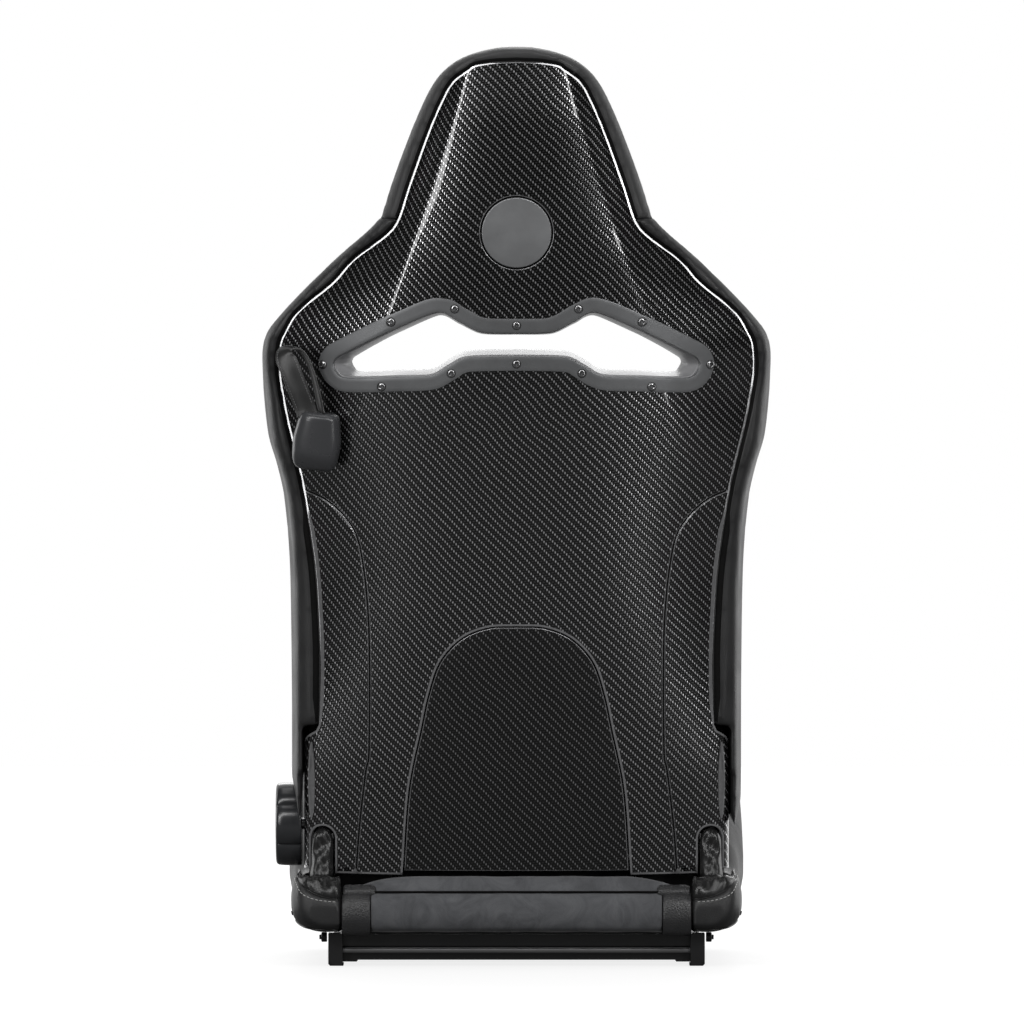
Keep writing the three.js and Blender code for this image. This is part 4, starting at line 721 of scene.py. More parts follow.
# ---- Lower panel -----------------------------------------------------------------------------
# A separate arch of the same laminate, let into the shell and held by the ledge behind it.
panel_loop = counter(mirror_loop(PANEL_HALF))
panel_loop = panel_loop[panel_loop[:, 1] > -40.9]
lumbar = laminate("lumbar_panel_carbon", dense(closed(panel_loop), 6)[:-1], [], panel_carbon, 2.7,
                  edge_highlight_paint=edge_painted_highlight)
dress(lumbar, "backrest", "carbon_fibre", "lumbar_panel")

# ---- Slot surround ---------------------------------------------------------------------------
# A satin grey plate that frames the shoulder slot, with chamfered edges. It lies on the shell and
# is held by twelve button-head screws in shallow seats.
RING_BAND, RING_LIFT, GAP = 15, 4.0, 0.4


def skin(count, size, closed_run=False, closed_ring=True, start=0):
    """Quads over a count of rings that follow each other, each of so many points."""
    faces = []
    for a in range(count if closed_run else count - 1):
        b = (a + 1) % count
        for i in range(size if closed_ring else size - 1):
            j = (i + 1) % size
            faces.append((start + a * size + i, start + a * size + j, start + b * size + j,
                          start + b * size + i))
    return faces


def swept(name, rings, material, sharp=32, closed_run=False):
    """A skin over rings of world points, with ends or closed; edges sharper than an angle stay crisp."""
    rings = np.asarray(rings, float)
    count, size = rings.shape[:2]
    faces = skin(count, size, closed_run)
    if not closed_run:
        faces += [tuple(range(size))[::-1], tuple(range((count - 1) * size, count * size))]
    made = object_from(name, rings.reshape(-1, 3), faces, material)
    tidy_normals(made, sharp)
    return made


def tidy_normals(made, sharp=32):
    shape = bmesh.new()
    shape.from_mesh(made.data)
    bmesh.ops.recalc_face_normals(shape, faces=shape.faces)
    for edge in shape.edges:
        edge.smooth = len(edge.link_faces) < 2 or edge.calc_face_angle(0) < math.radians(sharp)
    shape.to_mesh(made.data)
    shape.free()


def surface_texture():
    """A fine even grain, as on satin paint and moulded plastic, with slow clouds of wear."""
    group, start, end = shader_group("fine_texture", {"Place": "Vector", "Grain": "Float"},
                                     {"Height": "Float", "Wear": "Float"})
    set_inputs(end, {"Height": noise(group, start["Place"], start["Grain"], 3.0),
                     "Wear": noise(group, start["Place"], 14.0, 5.0, Roughness=0.6)})
    return group


fine_texture = surface_texture()


def hard_material(name, tone, rough, metal=0.0, grain=900.0, bump=0.25, coat=0.0):
    """Paint, moulded plastic or metal: a tone and roughness that vary a little, and fine grain."""
    material, tree, shader = new_material(name)
    texture = node(tree, "ShaderNodeGroup", {"Place": object_place(tree), "Grain": grain},
                   node_tree=fine_texture).outputs
    set_inputs(shader, {
        "Base Color": between(tree, texture["Wear"], [c * 0.75 for c in tone], [c * 1.25 for c in tone]),
        "Roughness": ranged(tree, texture["Wear"], 0.3, 0.7, rough * 0.88, min(1, rough * 1.14)),
        "Normal": bumps(tree, texture["Height"], bump, 0.00012), "Metallic": metal, "Coat Weight": coat})
    return material


satin_grey = hard_material("satin_grey_plate", (0.165, 0.168, 0.172), 0.42, metal=0.6)
inner_loop = closed_smooth(mirror_loop(slot_half), steps=8)
outer_loop = closed_smooth(offset_loop(counter(inner_loop)[::4], RING_BAND)[0], tension=0.5, steps=4)
inner_loop = counter(inner_loop)


def round_slot(grow):
    """The slot's outline, grown by some millimetres."""
    return inner_loop + (outer_loop - inner_loop) * grow / RING_BAND


def slot_rings(profile):
    """Rings round the slot, one for each (growth, height over the shell) of a profile."""
    rings = []
    for grow, height in profile:
        p, w = round_slot(grow).T
        rings.append(shell_face(p, w) + facing(p, w) * height)
    return rings


plate_profile = [(0.1, GAP), (0.1, 3.3), (0.35, 3.8), (0.95, RING_LIFT), (4, RING_LIFT), (7.5, RING_LIFT),
                 (11, RING_LIFT), (14.05, RING_LIFT), (14.7, 3.8), (15, 3.2), (15, GAP)]
surround = swept("slot_surround_plate", placed(slot_rings(plate_profile)).transpose(1, 0, 2), satin_grey,
                 closed_run=True)
dress(surround, "backrest", "satin_plate", "slot_surround")

# ---- Surround screws -------------------------------------------------------------------------
# Small black button-head screws with a hexagonal socket, tightened onto the surround plate.
SCREWS = [[0, 550.8], [65, 568], [131.7, 553], [203, 504.2], [141.7, 484.5], [68.6, 500], [0, 510.2]]
screw_steel = hard_material("screw_black_oxide", (0.34, 0.34, 0.345), 0.22, metal=1.0, grain=1500.0)
screw_shadow = hard_material("screw_seat_shadow", (0.012, 0.012, 0.012), 0.5, grain=1500.0)
dome = [(2.05, -1.2), (2.05, 2.05), (2.35, 2.3), (3.1, 2.15), (3.9, 1.7), (4.35, 1.0), (4.5, 0.25),
        (5.4, 0.1), (5.5, -0.1)]
points, faces, dark = [], [], []
for x0, w0 in SCREWS + [[-x, w] for x, w in SCREWS if x > 0]:
    seat_at, out = shell_face(x0, w0), facing(x0, w0)
    across = unit(np.cross(out, [0, 0, 1.0]))
    upward = np.cross(across, out)
    spin = math.radians((x0 * 7 + w0 * 3) % 60)
    faces += skin(len(dome), 24, start=len(points)) + [tuple(range(len(points), len(points) + 24))[::-1]]
    # Near-black in the hex socket and in the ring at the foot of the head: painted shadow.
    dark += [a < 1 or a > 5 for a in range(len(dome) - 1) for _ in range(24)] + [True]
    for ring_at, (radius, height) in enumerate(dome):
        for k in range(24):
            turn = 2 * math.pi * k / 24
            reach = radius
            if ring_at < 2:
                reach = 1.9 / math.cos((turn - spin + math.pi / 6) % (math.pi / 3) - math.pi / 6)
            points.append(seat_at + out * (RING_LIFT - 0.2 + height) + across * reach * math.cos(turn)
                          + upward * reach * math.sin(turn))
screws = object_from("surround_screws", placed(points), faces, screw_steel)
screws.data.materials.append(screw_shadow)
screws.data.polygons.foreach_set("material_index", [int(d) for d in dark])
tidy_normals(screws, 40)
dress(screws, "backrest", "screw_steel", *[f"surround_screw_{k}" for k in range(1, 13)])

# ---- Slot liner ------------------------------------------------------------------------------
# A moulded grey liner that takes the belts through the back. It starts in a rolled lip under the
# surround and narrows towards the front, most at the slot's two ends.
liner_grey = hard_material("liner_moulding", (0.2, 0.2, 0.205), 0.38, grain=700.0, bump=0.15)
x, w = inner_loop.T
middle_w = np.interp(np.abs(x), [0, 60, 100, 150, 192], [530, 531, 526, 511, 505])
upper_part = np.clip((w - middle_w) / 9, -1, 1) * 0.5 + 0.5
end_part = (np.abs(x) / 192.5) ** 3.2
drop = 4.5 + 3.5 * np.exp(-((np.abs(x) - 105) / 55) ** 2) - 2.0 * end_part
narrow = np.stack([-np.sign(x) * 17 * end_part, -drop * upper_part + 1.0 * (1 - upper_part)], -1)
rings = []
for share, grow, height in ((0, 2.6, 0.3), (0, 0.4, 0.3), (0, -0.6, 0.25), (0.01, -1.2, -0.3),
                            (0.03, -1.5, -1.4), (0.2, -1.5, -5), (0.5, -1.5, -12), (0.8, -1.5, -21),
                            (1.0, -1.5, -31), (1.02, -1.2, -34), (1.0, -0.2, -36), (0.6, 2.6, -34),
                            (0, 2.6, -14)):
    p, w = (round_slot(grow) + narrow * share).T
    rings.append(shell_face(p, w) - [0, height, 0])
liner = swept("slot_liner_moulding", placed(rings).transpose(1, 0, 2), liner_grey, sharp=60, closed_run=True)
dress(liner, "backrest", "liner_plastic", "slot_liner")

# ---- Badge disc ------------------------------------------------------------------------------
# A plain satin disc set into a round pocket of the shell.
badge_grey = hard_material("satin_grey_disc", (0.27, 0.274, 0.28), 0.36, metal=0.7)
badge = laminate("badge_disc_satin", disc_loop * 36.8 + BADGE, [], badge_grey, 2.7, lift=0.6, grid=5, rim=1.1)
dress(badge, "backrest", "satin_plate", "badge_disc")
# A near-black disc behind the badge: painted shadow in the gap round it.
pocket = laminate("badge_pocket_painted_shadow", disc_loop * 45 + BADGE, [], painted_shadow_black, 1.0, lift=-4.4, grid=9,
                  rim=0.4)
dress(pocket, "backrest", "black_plastic")

# ---- Padding of the back ---------------------------------------------------------------------
# Leather bolsters and head pad over moulded foam. Their covers are pulled round the edge of the
# shell, where they show from behind as a smooth roll.
INSERT_HALF, PAD_SEAM, HEAD_SEAM, PAD_GAP, ROLL_RISE = 128, 400, 658, 1, 3
FOOT_ROLL, SHAFT, BACKING = 22, 6, 8.2
insert_front = curve([[0, 22], [40, 14], [90, 0], [150, -12], [280, -24], [400, -30]])
shoulder_front = curve([[400, -30], [480, -28], [560, -26], [658, -22]])
bolster_crest = curve([[8, 40], [45, 62], [100, 90], [200, 118], [300, 120], [390, 96], [450, 58],
                       [500, 34], [560, 8], [600, -8], [658, -16]])
bolster_inner = curve([[8, 128], [400, 128], [430, 150], [458, 190], [480, 202], [556, 202], [590, 176],
                       [609, 158], [640, 124], [656, 108]])
head_front = curve([[658, -14], [700, 0], [760, 10], [810, 2], [840, -14]])


def behind_pad(x, w):
    return shell_depth(x, w) + BACKING


def grain_group():
    """Hide grain: small rounded pebbles between fine furrows, and slow creases."""
    group, start, end = shader_group("hide_grain", {"Place": "Vector", "Pebbles": "Float"},
                                     {"Height": "Float", "Tone": "Float"})
    cells = node(group, "ShaderNodeTexVoronoi", {"Vector": start["Place"], "Scale": start["Pebbles"]},
                 feature="DISTANCE_TO_EDGE")
    pebble = ranged(group, cells.outputs["Distance"], 0.0, 0.28)
    slow = noise(group, start["Place"], 26.0, 4.0, Distortion=0.6)
    set_inputs(end, {"Tone": slow, "Height": math_node(
        group, "ADD", math_node(group, "MULTIPLY", pebble, 0.35), math_node(group, "MULTIPLY", slow, 0.8))})
    return group


hide_grain = grain_group()


def leather_material(name, dark, light, rough, pebbles=620.0, depth=0.0006, strength=0.35):
    material, tree, shader = new_material(name)
    grain = node(tree, "ShaderNodeGroup", {"Place": object_place(tree), "Pebbles": pebbles},
                 node_tree=hide_grain).outputs
    set_inputs(shader, {
        "Base Color": between(tree, grain["Tone"], dark, light),
        "Roughness": ranged(tree, grain["Tone"], 0.3, 0.7, rough - 0.05, rough + 0.07),
        "Normal": bumps(tree, grain["Height"], strength, depth)})
    return material


leather = leather_material("black_leather", (0.010, 0.010, 0.0105), (0.018, 0.018, 0.0185), 0.43)


def settled(obj):
    """Applies every modifier of an object."""
    graph = bpy.context.evaluated_depsgraph_get()
    graph.update()
    mesh = bpy.data.meshes.new_from_object(obj.evaluated_get(graph))
    old = obj.data
    obj.modifiers.clear()
    obj.data = mesh
    bpy.data.meshes.remove(old)
    return obj


def loft(name, loops, material, of_back=True, steps=4):
    """A closed pad over loops of the same number of points; each loop is rounded through them."""
    rings = np.array([closed_smooth(np.array(loop, float), tension=0.5, steps=steps) for loop in loops])
    return swept(name, placed(rings) if of_back else rings / 1000, material, sharp=180)


def box_room(low, high, of_back=True):
    """A block of room to be cut from a pad, in the back's own directions or the seat's."""
    corners = np.array([[x, y, z] for x in (low[0], high[0]) for y in (low[1], high[1])
                        for z in (low[2], high[2])], float)
    faces = [(0, 1, 3, 2), (4, 6, 7, 5), (0, 4, 5, 1), (2, 3, 7, 6), (0, 2, 6, 4), (1, 5, 7, 3)]
    made = object_from("room", placed(corners) if of_back else corners / 1000, faces, leather, smooth=False)
    tidy_normals(made)
    return made


def drum_room(radius, low, high):
    """A round room along the recline axis."""
    rings = [[(x, PIVOT[0] + radius * math.cos(a), PIVOT[1] + radius * math.sin(a)) for a in circle(48)]
             for x in (low, high)]
    return swept("room", np.array(rings) / 1000, leather)


def slot_room(grow):
    """The slot's opening, right through the padding."""
    x, w = round_slot(grow).T
    return swept("room", placed([columns(x, v, w) for v in (-140, 150)]), leather)


def carve(pad, rooms, kind="DIFFERENCE"):
    """Cuts rooms out of a pad, or joins them to it."""
    for room in rooms:
        cut = pad.modifiers.new("cut", "BOOLEAN")
        cut.operation = kind
        cut.object = room
        cut.solver = "EXACT"
    settled(pad)
    for room in rooms:
        bpy.data.objects.remove(room)
    return pad


def of_vertices(piece, kind):
    """The places (co) or the normals of a piece's vertices."""
    found = np.empty(len(piece.data.vertices) * 3)
    piece.data.vertices.foreach_get(kind, found)
    return found.reshape(-1, 3)


def rounded(piece):
    """Subdivides a piece once, and applies its modifiers."""
    rounder = piece.modifiers.new("round", "SUBSURF")
    rounder.levels = rounder.render_levels = 1
    return settled(piece)


COVER_MESH, FILL_FRAMES = 0.004, 20


def stuff(pad, swell, still):
    """Gives a pad an even cover and swells it like foam under a tight cover, within a limit in mm."""
    remesh = pad.modifiers.new("cover", "REMESH")
    remesh.mode = "VOXEL"
    remesh.voxel_size = COVER_MESH
    ease = pad.modifiers.new("ease", "SMOOTH")
    ease.factor = 0.5
    ease.iterations = 4
    settled(pad)
    rest = of_vertices(pad, "co")
    cloth = pad.modifiers.new("fill", "CLOTH")
    cloth.settings.quality = 3
    cloth.settings.mass = 0.25
    cloth.settings.tension_stiffness = 12
    cloth.settings.compression_stiffness = 12
    cloth.settings.shear_stiffness = 6
    cloth.settings.bending_stiffness = 0.8
    cloth.settings.use_pressure = True
    cloth.settings.uniform_pressure_force = 4
    cloth.settings.effector_weights.gravity = 0
    cloth.collision_settings.use_collision = False
    scene = bpy.context.scene
    cloth.point_cache.frame_start, cloth.point_cache.frame_end = 1, FILL_FRAMES
    for frame_at in range(1, FILL_FRAMES + 1):
        scene.frame_set(frame_at)
    settled(pad)
    scene.frame_set(1)
    shift = of_vertices(pad, "co") - rest
    far = np.linalg.norm(shift, axis=1, keepdims=True)
    shift *= np.minimum(1, swell / 1000 / np.maximum(far, 1e-9))
    shift *= still(rest * 1000)[:, None]
    pad.data.vertices.foreach_set("co", (rest + shift).ravel())
    rounded(pad)
    pad.data.polygons.foreach_set("use_smooth", [True] * len(pad.data.polygons))
    pad.data.update()


def bolster_loop(w):
    """Section of the right back bolster at a height: seam, back, roll round the edge, crest and face."""
    inner = float(bolster_inner(w)) + PAD_GAP / 2
    half = float(shell_half(w))
    edge, outer = half + 1, float(roll_half(w))
    rim, crest = float(shell_depth(half, w)), float(bolster_crest(w))
    front = float(insert_front(w) if w < PAD_SEAM else shoulder_front(w))
    face = max(front, float(behind_pad(inner, w)) + 10)
    width, over = outer - inner, outer - edge
    deep = max(crest - rim, 20)
    across = [(s, inner + s * (edge - 2.2 - inner)) for s in (0, 0.33, 0.66, 1)]
    back = [(x, float(behind_pad(x, w)) - 4 * s**6) for s, x in across]
    ring = back + [(edge, rim + 1), (edge + 0.4, rim - ROLL_RISE), (edge + 0.35 * over, rim - 5),
                   (edge + 0.8 * over, rim + 1), (outer - 0.6, rim + 10), (outer, rim + 0.42 * deep),
                   (outer - 0.05 * width, rim + 0.75 * deep), (outer - 0.16 * width, rim + 0.95 * deep),
                   (outer - 0.3 * width, crest), (outer - 0.5 * width, crest - 0.12 * (crest - face)),
                   (outer - 0.72 * width, face + 0.45 * (crest - face)), (inner + 0.08 * width, face + 2),
                   (inner, face - 3)]
    return [(x, v, w) for x, v in ring]


def pad_foot(low, high):
    """Lower end of a pad, which reaches back to the shell and rolls round the shaft."""
    back = max(float(behind_pad(high, -FOOT_ROLL)), float(behind_pad(high, 12)))
    outline = [(back, 12), (back, -FOOT_ROLL), (-38, -FOOT_ROLL)]
    outline += [(FOOT_ROLL * math.cos(math.radians(a)), FOOT_ROLL * math.sin(math.radians(a)))
                for a in range(210, 361, 10)] + [(FOOT_ROLL, 12)]
    rings = placed([[(x, v, w) for v, w in outline] for x in (low, high)])
    return swept("foot", rings, leather, sharp=30)


def shell_room(depth=LAMINATE + 0.6):
    """The space that the shell takes up, a millimetre wider, to be cut from the pads on it."""
    half = [[float(shell_half(w)) + 1, w] for w in np.arange(-60, 826, 8)]
    half += [[26, SHELL_CROWN - 0.6], [0, SHELL_CROWN + 1]]
    front = np.array([[[s * x, float(shell_depth(s * x, w)) + depth, w] for s in np.linspace(-1, 1, 41)]
                      for x, w in half])
    count, size = front.shape[:2]
    total = count * size
    faces = []
    for quad in skin(count, size, closed_ring=False):
        faces += [quad, tuple(total + k for k in quad[::-1])]
    spots = np.arange(total).reshape(count, size)
    border = [*spots[0], *spots[1:, -1], *spots[-1, -2::-1], *spots[-2:0:-1, 0]]
    faces += [(b, a, a + total, b + total) for a, b in zip(border, border[1:] + border[:1])]
    points = np.concatenate([front, front - [0, 60, 0]]).reshape(-1, 3)
    made = object_from("room", placed(points), faces, leather)
    tidy_normals(made)
    return made


def mirrored(piece, name):
    """A copy of a piece of the right side, mirrored to the left."""
    made = piece.copy()
    made.name = name
    made.data = piece.data.copy()
    bpy.context.scene.collection.objects.link(made)
    made.data.transform(Matrix.Scale(-1, 4, (1, 0, 0)))
    made.data.flip_normals()
    return made


rows = [*np.arange(8, 396, 9.0), *np.arange(400, HEAD_SEAM - 1, 6.0), HEAD_SEAM + 1.2]
bolster = loft("back_bolster_right_leather", [bolster_loop(w) for w in rows], leather)
carve(bolster, [pad_foot(INSERT_HALF + 0.5, 182)], "UNION")
carve(bolster, [slot_room(4.1), box_room((182, -110, -10), (228.4, 70, 62)),
                box_room((201, -110, -10), (228, -12, 117)), box_room((189, -80, -10), (196.5, 24, 263)),
                drum_room(SHAFT + 1.4, 126, 190), shell_room()])
left_bolster = mirrored(bolster, "back_bolster_left_leather")
carve(left_bolster, [drum_room(51.5, -258, -227)])


def in_back(points):
    """Depth v and height w, in the back's own directions, of points of the world in mm."""
    y, z = points[:, 1] - PIVOT[0], points[:, 2] - PIVOT[1]
    return y * math.cos(LEAN) + z * math.sin(LEAN), z * math.cos(LEAN) - y * math.sin(LEAN)


def keeps_edge(points):
    """1 where a back pad may swell, down to 0.15 on the roll that shows from behind."""
    v, w = in_back(points)
    ahead = v - shell_depth(np.minimum(np.abs(points[:, 0]), shell_half(w)), w)
    return np.clip((ahead - 6) / 30, 0.15, 1)


for pad, name in ((bolster, "right"), (left_bolster, "left")):
    stuff(pad, 4, keeps_edge)
    dress(pad, "backrest", "black_leather", f"back_bolster_{name}", fill=0.9)


def head_loop(w):
    """Section of the head pad at a height; above the shell's crown it has no back to lie on."""
    outer = float(roll_half(w))
    covered = w < SHELL_CROWN - 6
    half = float(shell_half(w)) if covered else max(outer - 18, 6)
    rim, front = float(shell_depth(half, w)), float(head_front(w))
    edge = half + 1

    def behind(x):
        return float(behind_pad(x, w)) if covered else float(shell_depth(x, min(w, SHELL_CROWN - 1))) - 2
    right = [(edge - 2.2, behind(edge - 2.2) - (3 if covered else 0)), (edge, rim + 0.6),
             (edge + 0.3, rim - ROLL_RISE), (edge + 0.4 * (outer - edge), rim - 4.5),
             (edge + 0.85 * (outer - edge), rim + 2), (outer, rim + 0.35 * (front - rim)),
             (outer - 2, rim + 0.7 * (front - rim)), (0.9 * outer, front - 3), (0.62 * outer, front)]
    rear = [(s * edge, behind(s * edge)) for s in (0.66, 0.33)]
    ring = [(0, behind(0))] + rear[::-1] + right + [(0, front + 2)] \
        + [(-x, v) for x, v in right[::-1]] + [(-x, v) for x, v in rear]
    return [(x, v, w) for x, v in ring]


rows = [656.8, *np.arange(661, 815, 6.0), *np.arange(816, 836, 2.5), 836.5, 838, 839]
# A paler copy of the black leather for the head pad: painted light on the top of the seat.
head_leather_painted_light = leather_material("head_leather_painted_light", (0.018, 0.018, 0.0185), (0.03, 0.03, 0.0305), 0.5)
head = loft("head_pad_leather", [head_loop(w) for w in rows], head_leather_painted_light)
carve(head, [shell_room()])
stuff(head, 4, keeps_edge)
dress(head, "backrest", "black_leather", "head_pad", fill=0.9)

# ---- Suede centre of the back ----------------------------------------------------------------
# Dark synthetic suede over foam: the back insert with sewn cross channels, and the shoulder pad
# that is open at the belt slot.


def nap_group():
    """Suede: short fibres, and patches where the nap lies the other way."""
    group, start, end = shader_group("suede_nap", {"Place": "Vector", "Fibre": "Float"},
                                     {"Height": "Float", "Nap": "Float"})
    fibre = noise(group, start["Place"], start["Fibre"], 3.0, Roughness=0.7)
    patch = noise(group, start["Place"], 32.0, 5.0, Roughness=0.62, Distortion=1.2)
    nap = math_node(group, "ADD", math_node(group, "MULTIPLY", ranged(group, patch, 0.3, 0.7), 0.7),
                    math_node(group, "MULTIPLY", fibre, 0.4))
    set_inputs(end, {"Height": fibre, "Nap": nap})
    return group


suede_nap = nap_group()


def suede_material(name, dark, light):
    material, tree, shader = new_material(name)
    nap = node(tree, "ShaderNodeGroup", {"Place": object_place(tree), "Fibre": 1400.0},
               node_tree=suede_nap).outputs
    set_inputs(shader, {
        "Base Color": between(tree, nap["Nap"], dark, light),
        "Normal": bumps(tree, nap["Height"], 0.5, 0.0004),
        "Roughness": 0.92, "Sheen Weight": 0.2, "Sheen Roughness": 0.4})
    return material


suede = suede_material("dark_suede", (0.014, 0.0145, 0.016), (0.040, 0.041, 0.045))


def middle_loop(w, half, front):
    """Section of a middle pad at a height: on the shell behind, and rounded off at its sides in front."""
    reach = half - PAD_GAP / 2

    def behind(share):
        return float(behind_pad(share * reach, w))
    ring = [(s * reach, behind(s)) for s in (-1, -0.86, -0.6, -0.3, 0, 0.3, 0.6, 0.86, 1)]
    ring += [(s * (reach - 1.5), max(front - 14 * abs(s) ** 6, behind(s) + 10))
             for s in (1, 0.95, 0.8, 0.4, 0, -0.4, -0.8, -0.95, -1)]
    return [(x, v, w) for x, v in ring]


MIDDLE_ROOM = LAMINATE + 3
insert = loft("back_insert_suede", [middle_loop(w, INSERT_HALF, float(insert_front(w)))
                                    for w in np.append(np.arange(8, 396, 9.0), 399)], suede, steps=3)
carve(insert, [pad_foot(-127, 127)], "UNION")
carve(insert, [drum_room(SHAFT + 1.4, -130, 130), shell_room(MIDDLE_ROOM)])


def faces_rider(points):
    """1 on the face of a middle pad, 0 on its back, near its sides and at its foot over the cushion."""
    v, w = in_back(points)
    ahead = v - shell_depth(points[:, 0], w)
    return np.clip((ahead - 12) / 20, 0, 1) * np.clip((124 - np.abs(points[:, 0])) / 20, 0.2, 1) \
        * np.clip((w - 24) / 60, 0, 1)


def channels(pad, lines, depth, width, ahead):
    """Presses sewn channels into a pad; lines give a distance in mm for each vertex."""
    co, normal = of_vertices(pad, "co"), of_vertices(pad, "normal")
    far = lines(co * 1000)
    push = depth * np.exp(-(far / width) ** 2) * np.clip(ahead(co * 1000, normal), 0, 1)
    pad.data.vertices.foreach_set("co", (co - normal * push[:, None] / 1000).ravel())
    pad.data.update()


def height_up_back(points):
    return in_back(points)[1]


stuff(insert, 5, faces_rider)
channels(insert, lambda c: np.abs((height_up_back(c) - 70) % 55 - 27.5), 3.2, 3.5,
         lambda c, n: (n[:, 1] - 0.3) * 4 * (np.abs(c[:, 0]) < 118) * (height_up_back(c) > 62)
         * (height_up_back(c) < 385))
dress(insert, "backrest", "dark_suede", "back_insert", fill=0.8)

rows = np.append(np.arange(400, HEAD_SEAM - 3, 6.0), HEAD_SEAM - 2)
shoulder = loft("shoulder_pad_suede", [middle_loop(w, float(bolster_inner(w)), float(shoulder_front(w)))
                                       for w in rows], suede, steps=3)
carve(shoulder, [slot_room(4.1), shell_room(MIDDLE_ROOM)])
stuff(shoulder, 3, lambda c: np.full(len(c), 0.6))
dress(shoulder, "backrest", "dark_suede", "shoulder_pad", fill=0.8)

# ---- Pull strap ------------------------------------------------------------------------------
# A doubled leather strap with a stitched edge on both sides. It loops over behind the shoulder
# and both of its legs end in the grip.
GRIP_SIDE, GRIP_UP, GRIP_LENGTH = -211, 425, 62
STRAP_HALF, STRAP_PLY = 11, 1.2
grip_depth = float(shell_depth(-197, GRIP_UP)) - 17
strap_top = GRIP_UP + GRIP_LENGTH / 2 + 5
STRAP = [(-10, -3, strap_top - 8, 0.1), (-12, -1, strap_top, 0.1), (-20, 2, strap_top + 20, 0.1),
         (-28, 7, strap_top + 40, 0.12), (-33, 13, strap_top + 53, 0.25), (-29, 18, strap_top + 60, 0.8),
         (-17, 17, strap_top + 58, 1.2), (-8.5, 14, strap_top + 46, 1.35), (-2, 9, strap_top + 26, 1.35),
         (4, 4, strap_top, 1.3), (6, 2, strap_top - 8, 1.3)]
route = smooth_line([(GRIP_SIDE + x, grip_depth + v, w, turn) for x, v, w, turn in STRAP], 90)
runs = unit(np.gradient(route[:, :3], axis=0))
guess = np.stack([np.cos(route[:, 3]), -np.sin(route[:, 3]), np.zeros(len(route))], -1)
strap_normal = unit(np.cross(runs, guess))
strap_across = np.cross(strap_normal, runs)
section = [(-1, -0.35), (-0.985, -0.8), (-0.93, -1), (-0.80, -1), (-0.77, -0.86), (-0.74, -1), (0, -1.06),
           (0.74, -1), (0.77, -0.86), (0.80, -1), (0.93, -1), (0.985, -0.8), (1, -0.35)]
section += [(-a, -b) for a, b in section]
rings = [[middle + across * a * STRAP_HALF + out * b * STRAP_PLY for a, b in section]
         for middle, across, out in zip(route[:, :3], strap_across, strap_normal)]
strap_leather = leather_material("strap_leather", (0.010, 0.010, 0.010), (0.018, 0.018, 0.018), 0.36,
                                 pebbles=900.0, depth=0.0003)
strap = swept("pull_strap_leather", placed(rings), strap_leather, sharp=50)
dress(strap, "tilt_strap", "black_leather", "pull_strap")
thread = hard_material("thread_grey", (0.16, 0.16, 0.165), 0.6, grain=3000.0)


def stitches(name, line, normals, length=3.4, pitch=5.0, thick=0.38, material=thread):
    """A row of sewn stitches along a line on a surface, in mm in the world's directions."""
    line, normals = np.asarray(line, float), np.asarray(normals, float)
    run = np.concatenate([[0], np.cumsum(np.linalg.norm(np.diff(line, axis=0), axis=1))])
    points, faces = [], []
    for start in np.arange(0.6, run[-1] - length, pitch):
        at = start + np.linspace(0, 1, 6) * length
        spot = np.stack([np.interp(at, run, line[:, k]) for k in range(3)], -1)
        up = unit(np.stack([np.interp(at, run, normals[:, k]) for k in range(3)], -1))
        side = np.cross(unit(np.gradient(spot, axis=0)), up)
        first = len(points)
        for k in range(6):
            bulge = math.sin(math.pi * (k + 0.4) / 5.8)
            radius = thick * (0.45 + 0.55 * bulge)
            middle = spot[k] + up[k] * thick * (1.1 * bulge - 0.35)
            points += [middle + side[k] * radius * math.cos(a) + up[k] * radius * math.sin(a)
                       for a in circle(6)]
        faces += skin(6, 6, start=first)
        faces += [tuple(first + k for k in range(5, -1, -1)), tuple(first + 30 + k for k in range(6))]
    made = object_from(name, np.array(points) / 1000, faces, material)
    tidy_normals(made, 80)
    return made


strap_rows = []
for side in (-1, 1):
    for face in (-1, 1):
        at = route[6:-6, :3] + strap_across[6:-6] * side * 8.5 + strap_normal[6:-6] * face * 1.1
        row = stitches(f"strap_stitches_{len(strap_rows)}", placed(at) * 1000,
                       to_back(strap_normal[6:-6] * face), length=2.0, pitch=3.0, thick=0.28)
        dress(row, "tilt_strap", "black_leather")
        strap_rows.append(row)

# ---- Pull grip -------------------------------------------------------------------------------
# A moulded black grip on the strap's end: a broad face that turns under in a lower facet, with
# soft edges all round.


def grip_ring(part):
    """Section of the grip at a share of its length, 0 at the bottom."""
    across = curve([[0, 0.60], [0.03, 0.74], [0.1, 0.87], [0.25, 0.96], [0.5, 1.0], [0.72, 0.93],
                    [0.88, 0.86], [0.95, 0.8], [0.985, 0.7], [1, 0.56]])(part) * 25.5
    behind = curve([[0, 0.15], [0.05, 0.42], [0.33, 0.98], [0.42, 1.0], [0.9, 0.93], [0.96, 0.8],
                    [1, 0.5]])(part) * 14
    before = curve([[0, 0.3], [0.05, 0.62], [0.2, 0.9], [0.9, 0.9], [1, 0.5]])(part) * 14
    ring = []
    for turn in circle(64):
        c, s = math.cos(turn), math.sin(turn)
        x = math.copysign(abs(c) ** (0.42 if s > 0 else 0.7), c) * across
        v = math.copysign(abs(s) ** (0.52 if s > 0 else 0.86), s) * (before if s > 0 else behind)
        ring.append((x, v, (part - 0.5) * GRIP_LENGTH))
    return ring


